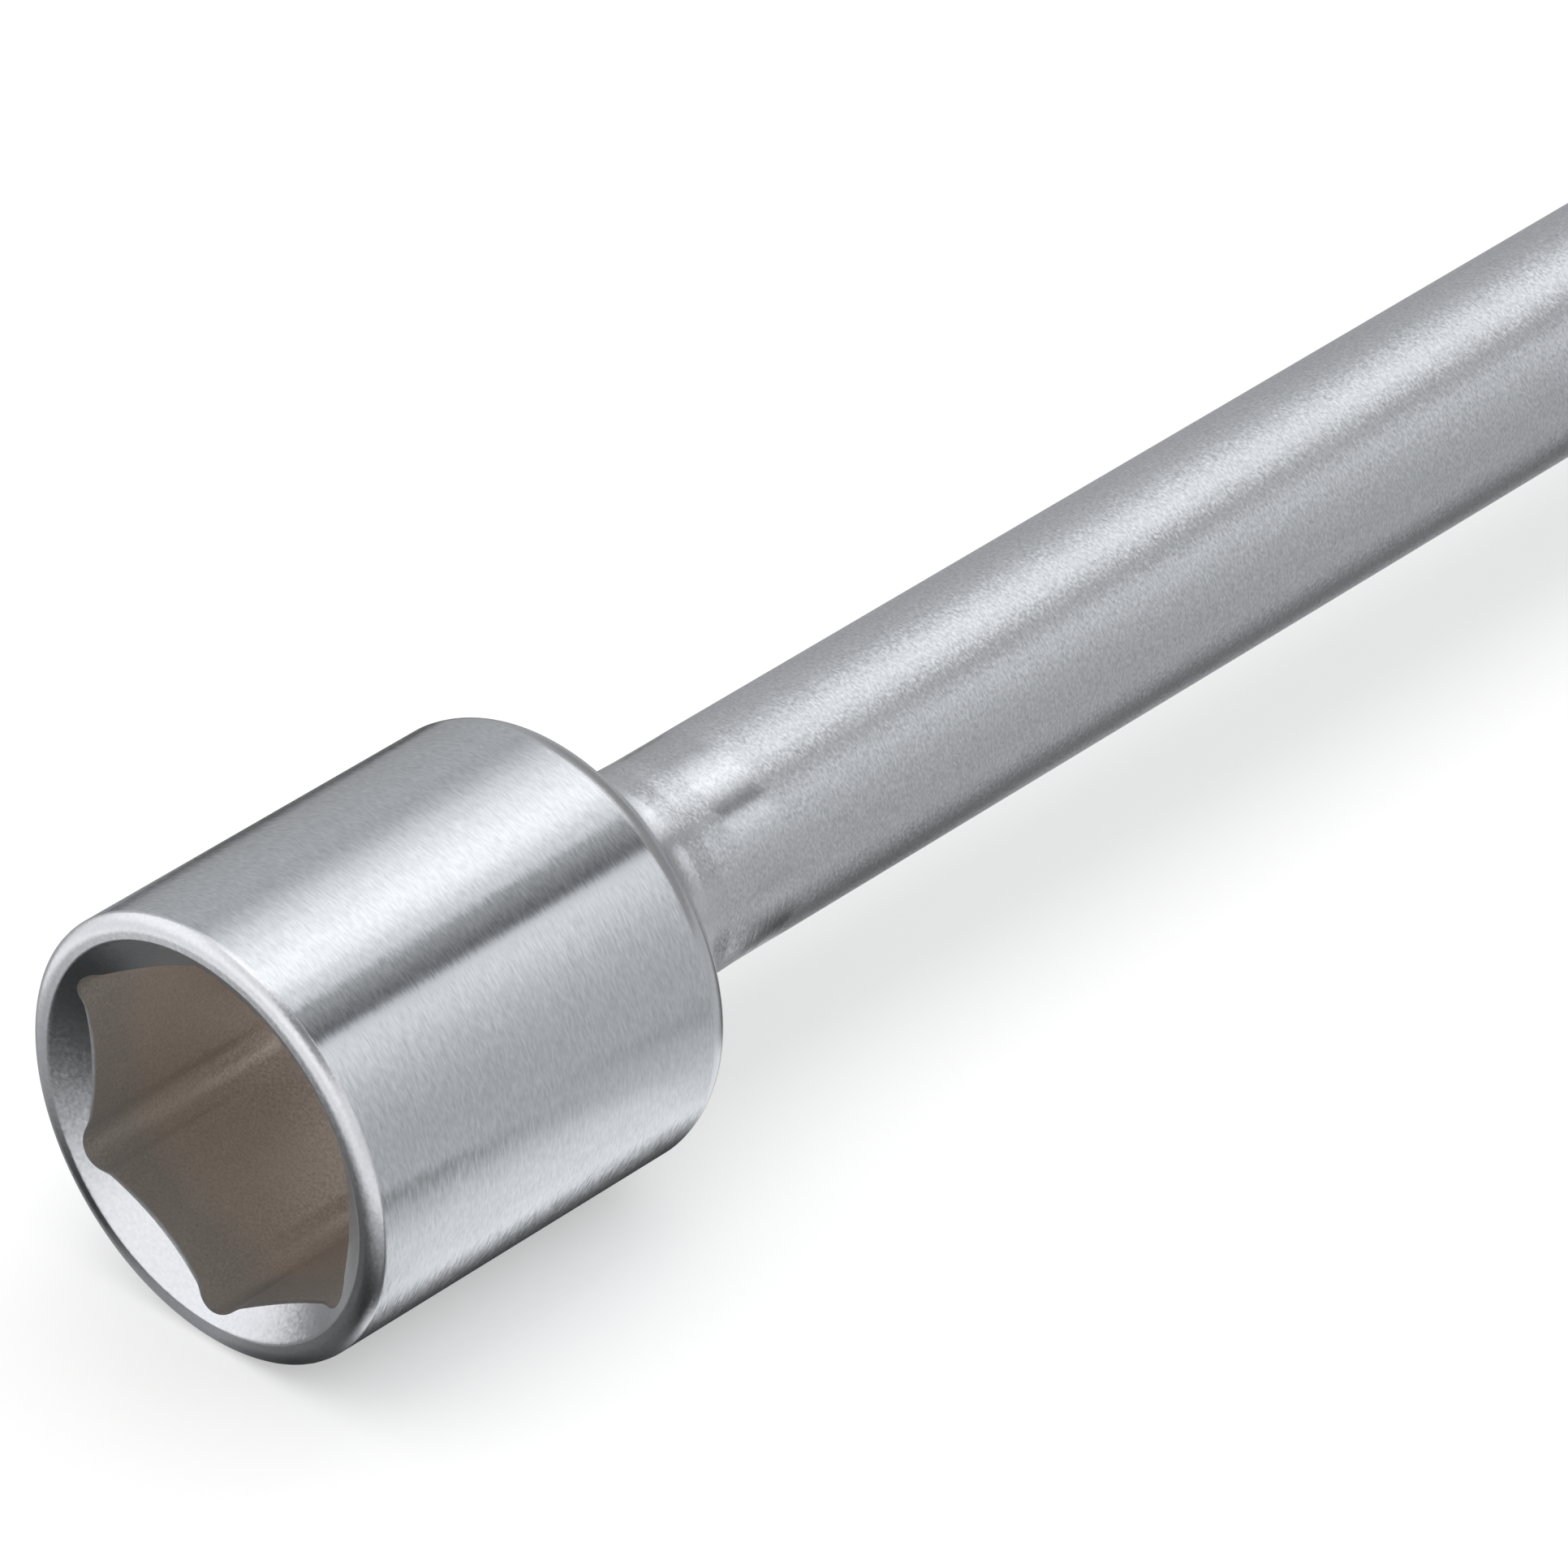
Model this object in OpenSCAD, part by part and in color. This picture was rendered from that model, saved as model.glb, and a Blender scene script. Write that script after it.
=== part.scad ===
// Sliding t-handle socket wrench for one size of hexagon nut.
// The wrench lies on its side: shank along +Y, socket mouth towards -Y, sliding bar along X, +Z up.
// Origin: middle of the bottom of the whole wrench. Units: millimetres.

/* [Wrench] */
// Length from the socket's mouth to the back of the head
overall_l = 300; // [200:5:450]

/* [Socket] */
// Outer diameter of the socket, and the width across the head's flats
socket_d = 26; // [26:0.5:29]
// Width across the flats of the nut opening
hex_af = 19.1; // [17:0.1:19.2]
// Depth of the nut opening
hex_l = 17; // [10:0.5:18]
// Diameter of the rounded groove in each corner of the nut opening
relief_d = 3.5; // [2:0.1:4.5]
// Diameter of the blind bore behind the nut opening that clears the bolt's end
bolt_bore_d = 14; // [8:0.5:15]
// Length of the blind bore behind the nut opening
bolt_bore_l = 6; // [3:0.5:7]
// Length of the straight brushed outside
socket_body_l = 24.2; // [23:0.1:40]
// How far the lip stands forward of the brushed outside
lip_l = 0.55; // [0.4:0.05:0.8]
// Radial width of the lip's outer rounding
lip_w = 1; // [0.8:0.05:1.1]
// Radial width of the lip's flat face
lip_face_w = 0.4; // [0.3:0.05:0.5]
// Angle between the lead-in cone's wall and the socket's axis
lead_in_angle = 58; // [48:1:65]
// Length of the rounded shoulder behind the brushed outside
shoulder_l = 1.9; // [1:0.1:3]
// Radial width of the rounded shoulder
shoulder_w = 1.9; // [1:0.1:3]
// Length of the flare from the shoulder down to the neck
flare_l = 4.8; // [3:0.1:7]
// Length of the neck from the flare to the weld
neck_l = 5; // [4:0.1:8]
// How far the neck at the flare stands out from the shank
neck_swell = 0.25; // [0.05:0.05:0.5]

/* [Weld] */
// Width of the band where the weld between neck and shank is ground off
dressed_l = 3.6; // [2:0.2:6]
// Depth of the ground band below the shank's surface
dressed_depth = 0.06; // [0.02:0.02:0.2]

/* [Shank] */
// Diameter of the shank
shank_d = 12.5; // [11.5:0.5:14]
// Width across the flats of the hexagon spigot that drives the head
spigot_af = 10.4; // [9.5:0.1:10.8]
// Depth of the round seat for the shank in the head's collar
shank_seat_l = 4; // [3:0.5:6]
// Metal left between the spigot's pocket and the head's cross bore
web_l = 1.5; // [1:0.25:3]

/* [Head] */
// Turned diameter of the head's block
head_d = 30; // [29.5:0.5:36]
// Length of the block from the bar's axis towards the socket
head_front_l = 12; // [10:0.5:16]
// Length of the block from the bar's axis to the back
head_back_l = 17.5; // [17:0.5:22]
// Diameter of the collar that takes the shank
collar_d = 21; // [19:0.5:22]
// Length of the collar
collar_l = 12; // [12:0.5:18]
// Diameter of the spring pin that keeps the shank in the collar
head_pin_d = 4; // [3:0.5:5]

/* [Detent] */
// Diameter of the detent's ball
ball_d = 5; // [4:0.25:5.5]
// Depth of the ball's long groove in the sliding bar
groove_depth = 1.5; // [1:0.1:1.8]
// Length of the detent's spring in the closed head
spring_l = 4.8; // [4.4:0.1:5]
// Wire diameter of the detent's spring
spring_wire_d = 0.5; // [0.3:0.05:0.6]
// Number of turns of the detent's spring
spring_turns = 4; // [2:1:4]
// Diameter of the screw that closes the detent's bore
detent_screw_d = 8; // [6.5:0.5:9]
// Length of the screw that closes the detent's bore
detent_screw_l = 3.9; // [3:0.1:4]

/* [Sliding bar] */
// Diameter of the sliding bar
bar_d = 11; // [9:0.5:12]
// Length of the sliding bar over both knobs
bar_span = 260; // [180:5:300]
// Diameter of the end knobs
knob_d = 16.5; // [15.5:0.5:20]
// Length of each end knob
knob_l = 17; // [15:0.5:24]
// Depth of the seat for the bar in each knob
knob_seat_l = 12; // [9:0.5:12]
// Diameter of the spring pin through each knob
knob_pin_d = 3; // [2:0.5:4]
// Thickness of the rubber buffer ring in front of each knob
buffer_d = 3; // [2:0.25:4]

/* [Hidden] */

// Overrun of every cut past the surface that it leaves
overrun = 1;
// Radial clearance of the bar in the head and of the ball in its bore
running_gap = 0.05;
// Radial clearance of parts that are pressed, pinned or screwed together
fit_gap = 0.02;
// Room between the ball and the groove that it rides in
ball_gap = 0.1;

// Half of a drill's point angle
drill_half_angle = 59;
// Steps in each quarter of a rounded outline
arc_steps = 12;

// Places along the wrench: the mouth, the bar's axis and the front of the head's collar
axis_z = socket_d / 2;
mouth_y = -overall_l / 2;
bar_y = overall_l / 2 - head_back_l;
collar_y = bar_y - head_front_l - collar_l;

// Socket, measured back from the mouth
socket_r = socket_d / 2;
shank_r = shank_d / 2;
lip_crest_r = socket_r - lip_w;
mouth_r = lip_crest_r - lip_face_w;
// The lip's outer rounding is part of a circle that leaves the flat face smoothly
lip_round_r = (pow(lip_w, 2) + pow(lip_l, 2)) / (2 * lip_l);
lip_round_angle = asin(lip_w / lip_round_r);
body_end = lip_l + socket_body_l;
shoulder_end = body_end + shoulder_l;
flare_top_r = socket_r - shoulder_w;
flare_end = shoulder_end + flare_l;
neck_r = shank_r + neck_swell;
weld_at = flare_end + neck_l;
dressed_r = shank_r - dressed_depth;
dressed_start = weld_at - dressed_l / 2;
// The grooves end a little short of the hexagon's own sharp corners, which are cut off inside them
corner_share = 0.993;
corner_r = corner_share * hex_af / 2 / cos(30);
relief_at = corner_r - relief_d / 2;
corner_cut_r = norm([hex_af / 2, relief_at * sin(30)]);
bore_r = bolt_bore_d / 2;
bore_end = hex_l + bolt_bore_l;
drill_tip_l = bore_r / tan(drill_half_angle);
cone_end_r = bore_r / 2;
cone_end = (mouth_r - cone_end_r) / tan(lead_in_angle);
cone_start_r = mouth_r + overrun * tan(lead_in_angle);

// Shank, measured back from the mouth
seat_end = collar_y - mouth_y + shank_seat_l;
pocket_end = bar_y - mouth_y - bar_d / 2 - web_l;
spigot_chamfer = spigot_af / 12;
spigot_end = pocket_end - spigot_chamfer / 2;
head_pin_y = mouth_y + seat_end + (collar_l - shank_seat_l) / 2;

// Head
head_af = socket_d;
head_r = head_d / 2;
head_chamfer = head_d / 20;
block_start = collar_l;
block_end = block_start + head_front_l + head_back_l;
collar_r = collar_d / 2;
collar_fillet_l = collar_l / 4;
collar_fillet_w = collar_fillet_l / 2;
bore_chamfer = bar_d / 14;

// Rolled spring pins, in shares of their diameter
pin_wall_share = 0.18;
pin_slot_share = 0.22;
pin_chamfer_share = 0.1;

// Detent, measured back from the bar's axis
bar_r = bar_d / 2;
ball_r = ball_d / 2;
ball_at = bar_r - groove_depth + ball_gap + ball_r;
spring_r = ball_r - spring_wire_d;
spring_wire_r = spring_wire_d / 2;
// The spring's first curl rests on the ball
spring_at = ball_at + sqrt(pow(ball_r + spring_wire_r, 2) - pow(spring_r, 2)) - spring_wire_r + fit_gap;
spring_end = spring_at + spring_l;
detent_screw_r = detent_screw_d / 2;
detent_key_af = detent_screw_d / 2;
detent_key_l = detent_screw_l * 0.6;
screw_chamfer = detent_screw_d / 16;

// Sliding bar
knob_r = knob_d / 2;
knob_face = bar_span / 2 - knob_l;
bar_end = knob_face + knob_seat_l;
travel = knob_face - buffer_d - head_af / 2;
groove_half_l = travel + ball_r;
bar_chamfer = bar_d / 12;
knob_round = knob_d / 4;
knob_chamfer = knob_d / 16;
knob_groove_r = knob_d / 22;
knob_groove_at = knob_l - knob_round - 2 * knob_groove_r;
knob_pin_at = knob_face + knob_seat_l / 2;

// A quarter of an ellipse about [r, z], from angle a0 to a1
function arc(r, z, w, l, a0, a1, steps = arc_steps) =
    [for (i = [0 : steps]) let (a = a0 + (a1 - a0) * i / steps) [r + w * cos(a), z + l * sin(a)]];

// Half of the socket's outline, from the axis out over the lip and back to the weld
socket_outline = concat(
    [[0, 0]],
    arc(lip_crest_r, lip_round_r, lip_round_r, lip_round_r, -90, lip_round_angle - 90),
    arc(socket_r - shoulder_w, body_end, shoulder_w, shoulder_l, 0, 90),
    arc(flare_top_r, flare_end, -(flare_top_r - neck_r), -flare_l, 90, 0),
    [[shank_r, dressed_start], [dressed_r, dressed_start], [dressed_r, weld_at], [0, weld_at]]
);

// Half of the lead-in cone's outline
mouth_outline = [[0, -overrun], [cone_start_r, -overrun], [cone_end_r, cone_end], [0, cone_end]];

// Half of the blind bore's outline, with its drilled end
bore_outline = [
    [0, -overrun], [bore_r, -overrun], [bore_r, bore_end], [0, bore_end + drill_tip_l]
];

// Puts a piece that is drawn along Z onto the wrench's axis, at a distance back from the mouth
module along_shank(from_mouth = 0) {
    translate([0, mouth_y + from_mouth, axis_z]) rotate([-90, 0, 0]) children();
}

// Puts a piece that is drawn along Z onto the sliding bar's axis, pointing to +X
module along_bar(x = 0) {
    translate([x, bar_y, axis_z]) rotate([0, 90, 0]) children();
}

module hex_prism(af, l) {
    rotate([0, 0, 30]) cylinder(d = af / cos(30), h = l, $fn = 6);
}

// A rolled spring pin with its slot and chamfered ends, standing on z = 0
module spring_pin(d, l) {
    chamfer = d * pin_chamfer_share;
    slot = d * pin_slot_share;
    bore = d / 2 - d * pin_wall_share;
    difference() {
        rotate_extrude($fn = 48)
            polygon([[0, 0], [d / 2 - chamfer, 0], [d / 2, chamfer], [d / 2, l - chamfer],
                     [d / 2 - chamfer, l], [0, l]]);
        translate([0, 0, -overrun]) cylinder(r = bore, h = l + 2 * overrun, $fn = 48);
        translate([0, -slot / 2, -overrun]) cube([d, slot, l + 2 * overrun]);
    }
}

// Cup for the nut, with its lip, shoulder, flare and the neck that is welded to the shank
module socket() {
    color([0.74, 0.75, 0.77])
    along_shank()
    difference() {
        rotate_extrude($fn = 96) polygon(socket_outline);
        rotate_extrude($fn = 96) polygon(mouth_outline);
        translate([0, 0, -overrun]) intersection() {
            hex_prism(hex_af, hex_l + overrun);
            cylinder(r = corner_cut_r, h = hex_l + overrun, $fn = 96);
        }
        for (i = [0 : 5])
            rotate([0, 0, 60 * i + 30]) translate([relief_at, 0, -overrun])
                cylinder(d = relief_d, h = hex_l + overrun, $fn = 48);
        rotate_extrude($fn = 64) polygon(bore_outline);
    }
}

// Round bar from the weld to the collar, with the hexagon spigot inside the head
module shank() {
    color([0.66, 0.67, 0.69])
    difference() {
        along_shank() {
            rotate_extrude($fn = 64)
                polygon([[0, weld_at], [dressed_r, weld_at], [dressed_r, weld_at + dressed_l / 2],
                         [shank_r, weld_at + dressed_l / 2], [shank_r, seat_end], [0, seat_end]]);
            intersection() {
                translate([0, 0, seat_end - overrun])
                    hex_prism(spigot_af, spigot_end - seat_end + overrun);
                rotate_extrude($fn = 64)
                    polygon([[0, seat_end - overrun], [shank_r, seat_end - overrun],
                             [shank_r, spigot_end - spigot_chamfer],
                             [spigot_af / 2 - spigot_chamfer, spigot_end], [0, spigot_end]]);
            }
        }
        head_pin_hole();
    }
}

// The hole for the head's pin runs up through collar and spigot
module head_pin_hole() {
    translate([0, head_pin_y, axis_z - collar_d])
        cylinder(d = head_pin_d + 2 * fit_gap, h = 2 * collar_d, $fn = 48);
}

// Half of the outline of the head's turned block, and of its collar
block_outline = [
    [0, block_start], [head_af / 2, block_start], [head_r, block_start + head_r - head_af / 2],
    [head_r, block_end - 2 * head_chamfer], [head_r - 2 * head_chamfer, block_end], [0, block_end]
];
collar_foot_r = collar_r + collar_fillet_w;
collar_outline = concat(
    [[0, 0], [collar_r - head_chamfer, 0], [collar_r, head_chamfer]],
    arc(collar_foot_r, collar_l - collar_fillet_l, -collar_fillet_w, collar_fillet_l, 0, 90),
    [[collar_foot_r, collar_l + overrun], [0, collar_l + overrun]]
);

// T-shaped head: square block with turned corners, collar, cross bore and detent bore
module t_head() {
    color([0.70, 0.71, 0.73])
    difference() {
        along_shank(collar_y - mouth_y) {
            intersection() {
                rotate_extrude($fn = 96) polygon(block_outline);
                translate([-head_af / 2, -head_af / 2, 0]) cube([head_af, head_af, block_end]);
            }
            rotate_extrude($fn = 96) polygon(collar_outline);
        }
        along_shank(collar_y - mouth_y - overrun)
            cylinder(r = shank_r + fit_gap, h = shank_seat_l + overrun, $fn = 64);
        along_shank(seat_end - overrun)
            hex_prism(spigot_af + 2 * fit_gap, pocket_end - seat_end + overrun);
        head_pin_hole();
        along_bar(-head_af) cylinder(r = bar_r + running_gap, h = 2 * head_af, $fn = 64);
        for (side = [-1, 1])
            along_bar(side * (head_af / 2 - bore_chamfer)) mirror([0, 0, side < 0 ? 1 : 0])
                cylinder(r1 = bar_r + running_gap, r2 = bar_r + running_gap + bore_chamfer + overrun,
                         h = bore_chamfer + overrun, $fn = 64);
        along_shank(bar_y - mouth_y) cylinder(r = ball_r + running_gap, h = spring_end, $fn = 48);
        along_shank(bar_y - mouth_y + spring_end)
            cylinder(r = detent_screw_r + fit_gap, h = head_back_l, $fn = 48);
    }
}

// Spring pin that keeps the spigot in the collar
module head_pin() {
    color([0.36, 0.36, 0.38])
    translate([0, head_pin_y, axis_z - collar_r + head_chamfer / 2])
        spring_pin(head_pin_d, collar_d - head_chamfer);
}

// Headless screw with a hexagon recess that closes the detent's bore
module detent_screw() {
    color([0.20, 0.20, 0.22])
    along_shank(bar_y - mouth_y + spring_end)
    difference() {
        rotate_extrude($fn = 48)
            polygon([[0, 0], [detent_screw_r - screw_chamfer, 0], [detent_screw_r, screw_chamfer],
                     [detent_screw_r, detent_screw_l - screw_chamfer],
                     [detent_screw_r - screw_chamfer, detent_screw_l], [0, detent_screw_l]]);
        translate([0, 0, detent_screw_l - detent_key_l])
            hex_prism(detent_key_af, detent_key_l + overrun);
    }
}

// Coil spring between ball and screw: one unbroken tube swept along its curls
spring_rings = 8 * spring_turns;
spring_sides = 6;
spring_rise = spring_l - spring_wire_d;
function spring_centre(i) =
    let (turn = 360 * i / 8)
    [spring_r * cos(turn), spring_r * sin(turn), spring_wire_r + spring_rise * i / spring_rings];
function spring_point(i, j) =
    let (turn = 360 * i / 8, roll = 360 * j / spring_sides, reach = spring_r + spring_wire_r * cos(roll))
    [reach * cos(turn), reach * sin(turn), spring_centre(i)[2] + spring_wire_r * sin(roll)];
spring_points = [for (i = [0 : spring_rings]) for (j = [0 : spring_sides - 1]) spring_point(i, j)];
spring_faces = concat(
    [for (i = [0 : spring_rings - 1]) for (j = [0 : spring_sides - 1])
        for (half = [0, 1])
            let (a = i * spring_sides, b = a + spring_sides, k = (j + 1) % spring_sides)
            half == 0 ? [a + j, b + j, b + k] : [a + j, b + k, a + k]],
    [for (j = [1 : spring_sides - 2]) [0, j, j + 1]],
    [for (j = [1 : spring_sides - 2])
        let (a = spring_rings * spring_sides) [a, a + j + 1, a + j]]
);
spring_gap = min([for (i = [0 : spring_rings - 6]) for (k = [i + 6 : spring_rings])
    norm(spring_centre(i) - spring_centre(k)) - spring_wire_d]);
module detent_spring() {
    echo(spring_gap = spring_gap);
    color([0.45, 0.45, 0.47])
    along_shank(bar_y - mouth_y + spring_at)
        polyhedron(points = spring_points, faces = spring_faces, convexity = 4);
}

// Ball that rides in the bar's groove
module detent_ball() {
    color([0.80, 0.80, 0.82])
    along_shank(bar_y - mouth_y + ball_at) sphere(r = ball_r, $fn = 48);
}

// Cross bar with the long groove for the ball
module sliding_bar() {
    color([0.72, 0.73, 0.75])
    difference() {
        along_bar()
            rotate_extrude($fn = 64)
                polygon([[0, -bar_end], [bar_r - bar_chamfer, -bar_end], [bar_r, -bar_end + bar_chamfer],
                         [bar_r, bar_end - bar_chamfer], [bar_r - bar_chamfer, bar_end], [0, bar_end]]);
        translate([0, ball_at, 0]) {
            along_bar(-groove_half_l)
                cylinder(r = ball_r + ball_gap, h = 2 * groove_half_l, $fn = 48);
            for (side = [-1, 1]) along_bar(side * groove_half_l) sphere(r = ball_r + ball_gap, $fn = 48);
        }
        for (side = [-1, 1]) knob_pin_hole(side);
    }
}

module knob_pin_hole(side) {
    translate([side * knob_pin_at, bar_y, axis_z - knob_d])
        cylinder(d = knob_pin_d + 2 * fit_gap, h = 2 * knob_d, $fn = 48);
}

// End knob: turned barrel with a domed end and one turned groove
knob_outline = concat(
    [[0, 0], [knob_r - knob_chamfer, 0], [knob_r, knob_chamfer]],
    arc(knob_r, knob_groove_at, -knob_groove_r, -knob_groove_r, 90, -90),
    arc(knob_r - knob_round, knob_l - knob_round, knob_round, knob_round, 0, 60),
    [[0, knob_l]]
);
module knob(side) {
    color([0.72, 0.73, 0.75])
    difference() {
        along_bar(side * knob_face) mirror([0, 0, side < 0 ? 1 : 0]) difference() {
            rotate_extrude($fn = 96) polygon(knob_outline);
            translate([0, 0, -overrun])
                cylinder(r = bar_r + fit_gap, h = knob_seat_l + fit_gap + overrun, $fn = 64);
        }
        knob_pin_hole(side);
    }
}
module knob_left() { knob(-1); }
module knob_right() { knob(1); }

// Spring pin through knob and bar
module knob_pin(side) {
    color([0.36, 0.36, 0.38])
    translate([side * knob_pin_at, bar_y, axis_z - knob_r + knob_chamfer / 2])
        spring_pin(knob_pin_d, knob_d - knob_chamfer);
}
module knob_pin_left() { knob_pin(-1); }
module knob_pin_right() { knob_pin(1); }

// Rubber ring that softens the stop of the head against the knob
module buffer_ring(side) {
    color([0.06, 0.06, 0.065])
    along_bar(side * (knob_face - buffer_d / 2))
        rotate_extrude($fn = 96)
            translate([bar_r + fit_gap + buffer_d / 2, 0]) circle(d = buffer_d, $fn = 32);
}
module buffer_ring_left() { buffer_ring(-1); }
module buffer_ring_right() { buffer_ring(1); }

socket();
shank();
t_head();
head_pin();
detent_screw();
detent_spring();
detent_ball();
sliding_bar();
knob_left();
knob_right();
knob_pin_left();
knob_pin_right();
buffer_ring_left();
buffer_ring_right();
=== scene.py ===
"""Looks of the sliding t-handle wrench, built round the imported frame."""
import math

import bpy
import numpy as np
from mathutils import Matrix, Vector


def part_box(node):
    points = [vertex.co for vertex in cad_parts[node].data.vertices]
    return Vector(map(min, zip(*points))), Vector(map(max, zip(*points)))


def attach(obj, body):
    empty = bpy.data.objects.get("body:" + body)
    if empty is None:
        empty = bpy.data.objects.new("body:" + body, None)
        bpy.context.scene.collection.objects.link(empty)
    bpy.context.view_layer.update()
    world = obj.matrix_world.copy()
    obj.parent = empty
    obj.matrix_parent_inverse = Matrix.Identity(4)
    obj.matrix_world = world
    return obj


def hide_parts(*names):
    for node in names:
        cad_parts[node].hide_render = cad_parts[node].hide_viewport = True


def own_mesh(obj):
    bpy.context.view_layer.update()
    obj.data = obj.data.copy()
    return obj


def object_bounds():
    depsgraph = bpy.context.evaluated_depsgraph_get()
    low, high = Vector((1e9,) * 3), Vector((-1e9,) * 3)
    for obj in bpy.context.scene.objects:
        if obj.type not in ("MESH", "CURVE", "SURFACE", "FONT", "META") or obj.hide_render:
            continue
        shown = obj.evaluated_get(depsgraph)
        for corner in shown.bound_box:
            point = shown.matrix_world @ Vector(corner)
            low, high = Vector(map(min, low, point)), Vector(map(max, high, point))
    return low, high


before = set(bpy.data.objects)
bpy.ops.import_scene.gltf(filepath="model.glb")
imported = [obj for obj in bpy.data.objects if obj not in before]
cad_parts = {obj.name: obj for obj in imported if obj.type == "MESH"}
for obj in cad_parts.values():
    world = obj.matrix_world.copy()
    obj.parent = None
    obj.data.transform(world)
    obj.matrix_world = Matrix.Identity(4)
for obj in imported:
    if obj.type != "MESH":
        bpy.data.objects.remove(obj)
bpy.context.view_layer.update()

MM = 0.001

# Sizes in millimetres; the first ones come from the frame
socket_low, socket_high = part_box("socket")
head_low, head_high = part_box("t_head")
bar_low, bar_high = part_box("sliding_bar")
knob_low, knob_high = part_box("knob_right")
spring_low, spring_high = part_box("detent_spring")
SOCKET_R = (socket_high.x - socket_low.x) / 2 / MM
AXIS_Z = (socket_high.z + socket_low.z) / 2 / MM
MOUTH_Y = socket_low.y / MM
WELD_AT = (socket_high.y - socket_low.y) / MM
HEAD_AF = (head_high.x - head_low.x) / MM
COLLAR_AT = head_low.y / MM - MOUTH_Y
HEAD_END = head_high.y / MM - MOUTH_Y
BAR_R = (bar_high.z - bar_low.z) / 2 / MM
BAR_Y = (bar_high.y + bar_low.y) / 2 / MM
BAR_END = bar_high.x / MM
KNOB_FACE = knob_low.x / MM
KNOB_L = (knob_high.x - knob_low.x) / MM
KNOB_R = (knob_high.z - knob_low.z) / 2 / MM

# Socket: _L runs along the shank's axis, _W across it, _R is a radius and _AF a width across flats
HEX_AF = 19.1
HEX_L = 17.0
HEX_OFF = (0.1, -0.09)  # how far the hexagon lies off the lip's centre, in x and z
HEX_WEAR = 2  # points on each side that the hexagon's radius is averaged over
RELIEF_R = 1.75  # round groove in each corner of the hexagon
CORNER_SHARE = 0.993  # reach of those grooves, as a share of the sharp corner's radius
PLATED_L = 4.5  # how far the plating reaches into the hexagon
BOLT_BORE_R = 7.0
BOLT_BORE_L = 6.0
BORE_LEDGE_W = 1.5
BORE_CHAMFER = 0.3
DRILL_ANGLE = 59  # between the axis and the drilled bottom
LIP_L = 0.55
LIP_W = 1.0
LIP_FACE_W = 0.4
LIP_BEND = 0.05  # broken edge between the lip's face and the cone
LEAD_IN_ANGLE = 58
BODY_L = 24.2
EDGE_L = 0.08  # from the lip to the brushed face
EDGE_WANDER = 0.03  # unevenness of both edges of the brushed face
SHOULDER_L = 1.9
SHOULDER_W = 1.9
RIM_ANGLE = 10  # how much the shoulder leans where it meets the body
FLARE_L = 4.8
NECK_SWELL = 0.25  # what the neck's radius has over the shank's, next to the flare
STEP_RISE = 0.03  # the same where the soft step from the weld band ends
TAPER_RISE = 0.04  # and a little further on, where the neck's taper starts
TAPER_GAP = 0.4

# Weld: the ground band, its soft edges, and how the ground and the turned look fade out
DRESSED_L = 3.6
DRESSED_DEPTH = 0.015
STEP_INSIDE = 0.4  # how far inside the band each soft edge starts
NECK_STEP_L = 1.4  # how far it reaches beyond the band, over the neck
SHANK_STEP_L = 1.2  # and over the shank
RAGGED = 0.25  # unevenness of the ground look's edge, slow and fine
RAGGED_FINE = 0.12
DRESSED_SPILL = 0.3  # how far the ground look reaches beyond the band
NECK_FADE_L = 0.6  # length of its fading on the neck and on the shank
SHANK_FADE_L = 1.1
TURNED_L = SHOULDER_L + 1.5 * FLARE_L  # how far back from the body the turned look reaches
TURNED_FADE_L = 4
TURNED_BEFORE = 0.5  # how far before the shoulder the turned look starts

# Shank
SHANK_R = 6.25
SPIGOT_AF = 10.4
SEAT_L = 4.0
WEB_L = 1.5

# Head
HEAD_R = 15.0
COLLAR_R = 10.5
COLLAR_L = 12.0
HEAD_CHAMFER = 1.5
HEAD_EDGE_R = 0.5
HEAD_EDGE_L = 0.3  # where those round edges start, before the sharp corner
FOOT_EDGE_R = 0.42  # round edge of the block next to the collar
FOOT_EDGE_L = 0.15
MILLED_EDGE_W = 0.35  # soft edge where the milled flats meet the turned shape
HEAD_PIN_R = 2.02
BALL_R = 2.5
SPRING_WIRE_R = 0.25
SPRING_TURNS = 4
SCREW_R = 4.0
SCREW_SEAT_L = 4.6
SCREW_CHAMFER = 0.4
FIT_GAP = 0.02
RUNNING_GAP = 0.05

# Sliding bar, knobs and rings
GROOVE_DEPTH = 1.5
BALL_GAP = 0.1
GROOVE_HALF_L = 99.5
LEAST_TURN = 0.02  # half angle of the groove's mesh strip where there is no groove, in radians
KNOB_SEAT_L = 12.0
KNOB_FOOT_EDGE_R = 0.25  # round edges of the knob's chamfer
KNOB_FOOT_EDGE_L = 0.1  # and how far they reach past its sharp corners
KNOB_EDGE_R = 0.12  # round edges of the knob's groove
KNOB_GROOVE_OUT = 0.02  # centre of the groove's round, outside the surface
KNOB_CROWN_L = 0.02  # height of the dome's end
KNOB_PIN_R = 1.52
PIN_CHAMFER_W = 0.2
PIN_CHAMFER_L = 0.3
PIN_CHAMFER_OUT = 0.05  # where the hole's chamfer ends, inside the knob's radius
BUFFER_R = 1.5
PARTING_H = 0.035  # height of the rings' parting line
PARTING_SHARE = 0.16  # its half width, as a share of the section's radius

# Meshes
HUB_R = 0.3  # smallest ring of points round the axis, at a closed end
WELD_RING = 0.05  # ring of points on the weld's face, this far inside its edge
TIP = (0.4, 0.24)  # last ring of the drilled bottom: its radius and its distance from the tip
LAP_ANGLE = 3  # degrees by which an arc stops short of an edge that has its own ring
CUT_PAST = 1  # cutters reach this far past the surface
SOCKET_POINTS = 720  # points in a ring; the export thins a piece of over 200,000 triangles
TURNED_POINTS = 480
KNOB_POINTS = 240
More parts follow.
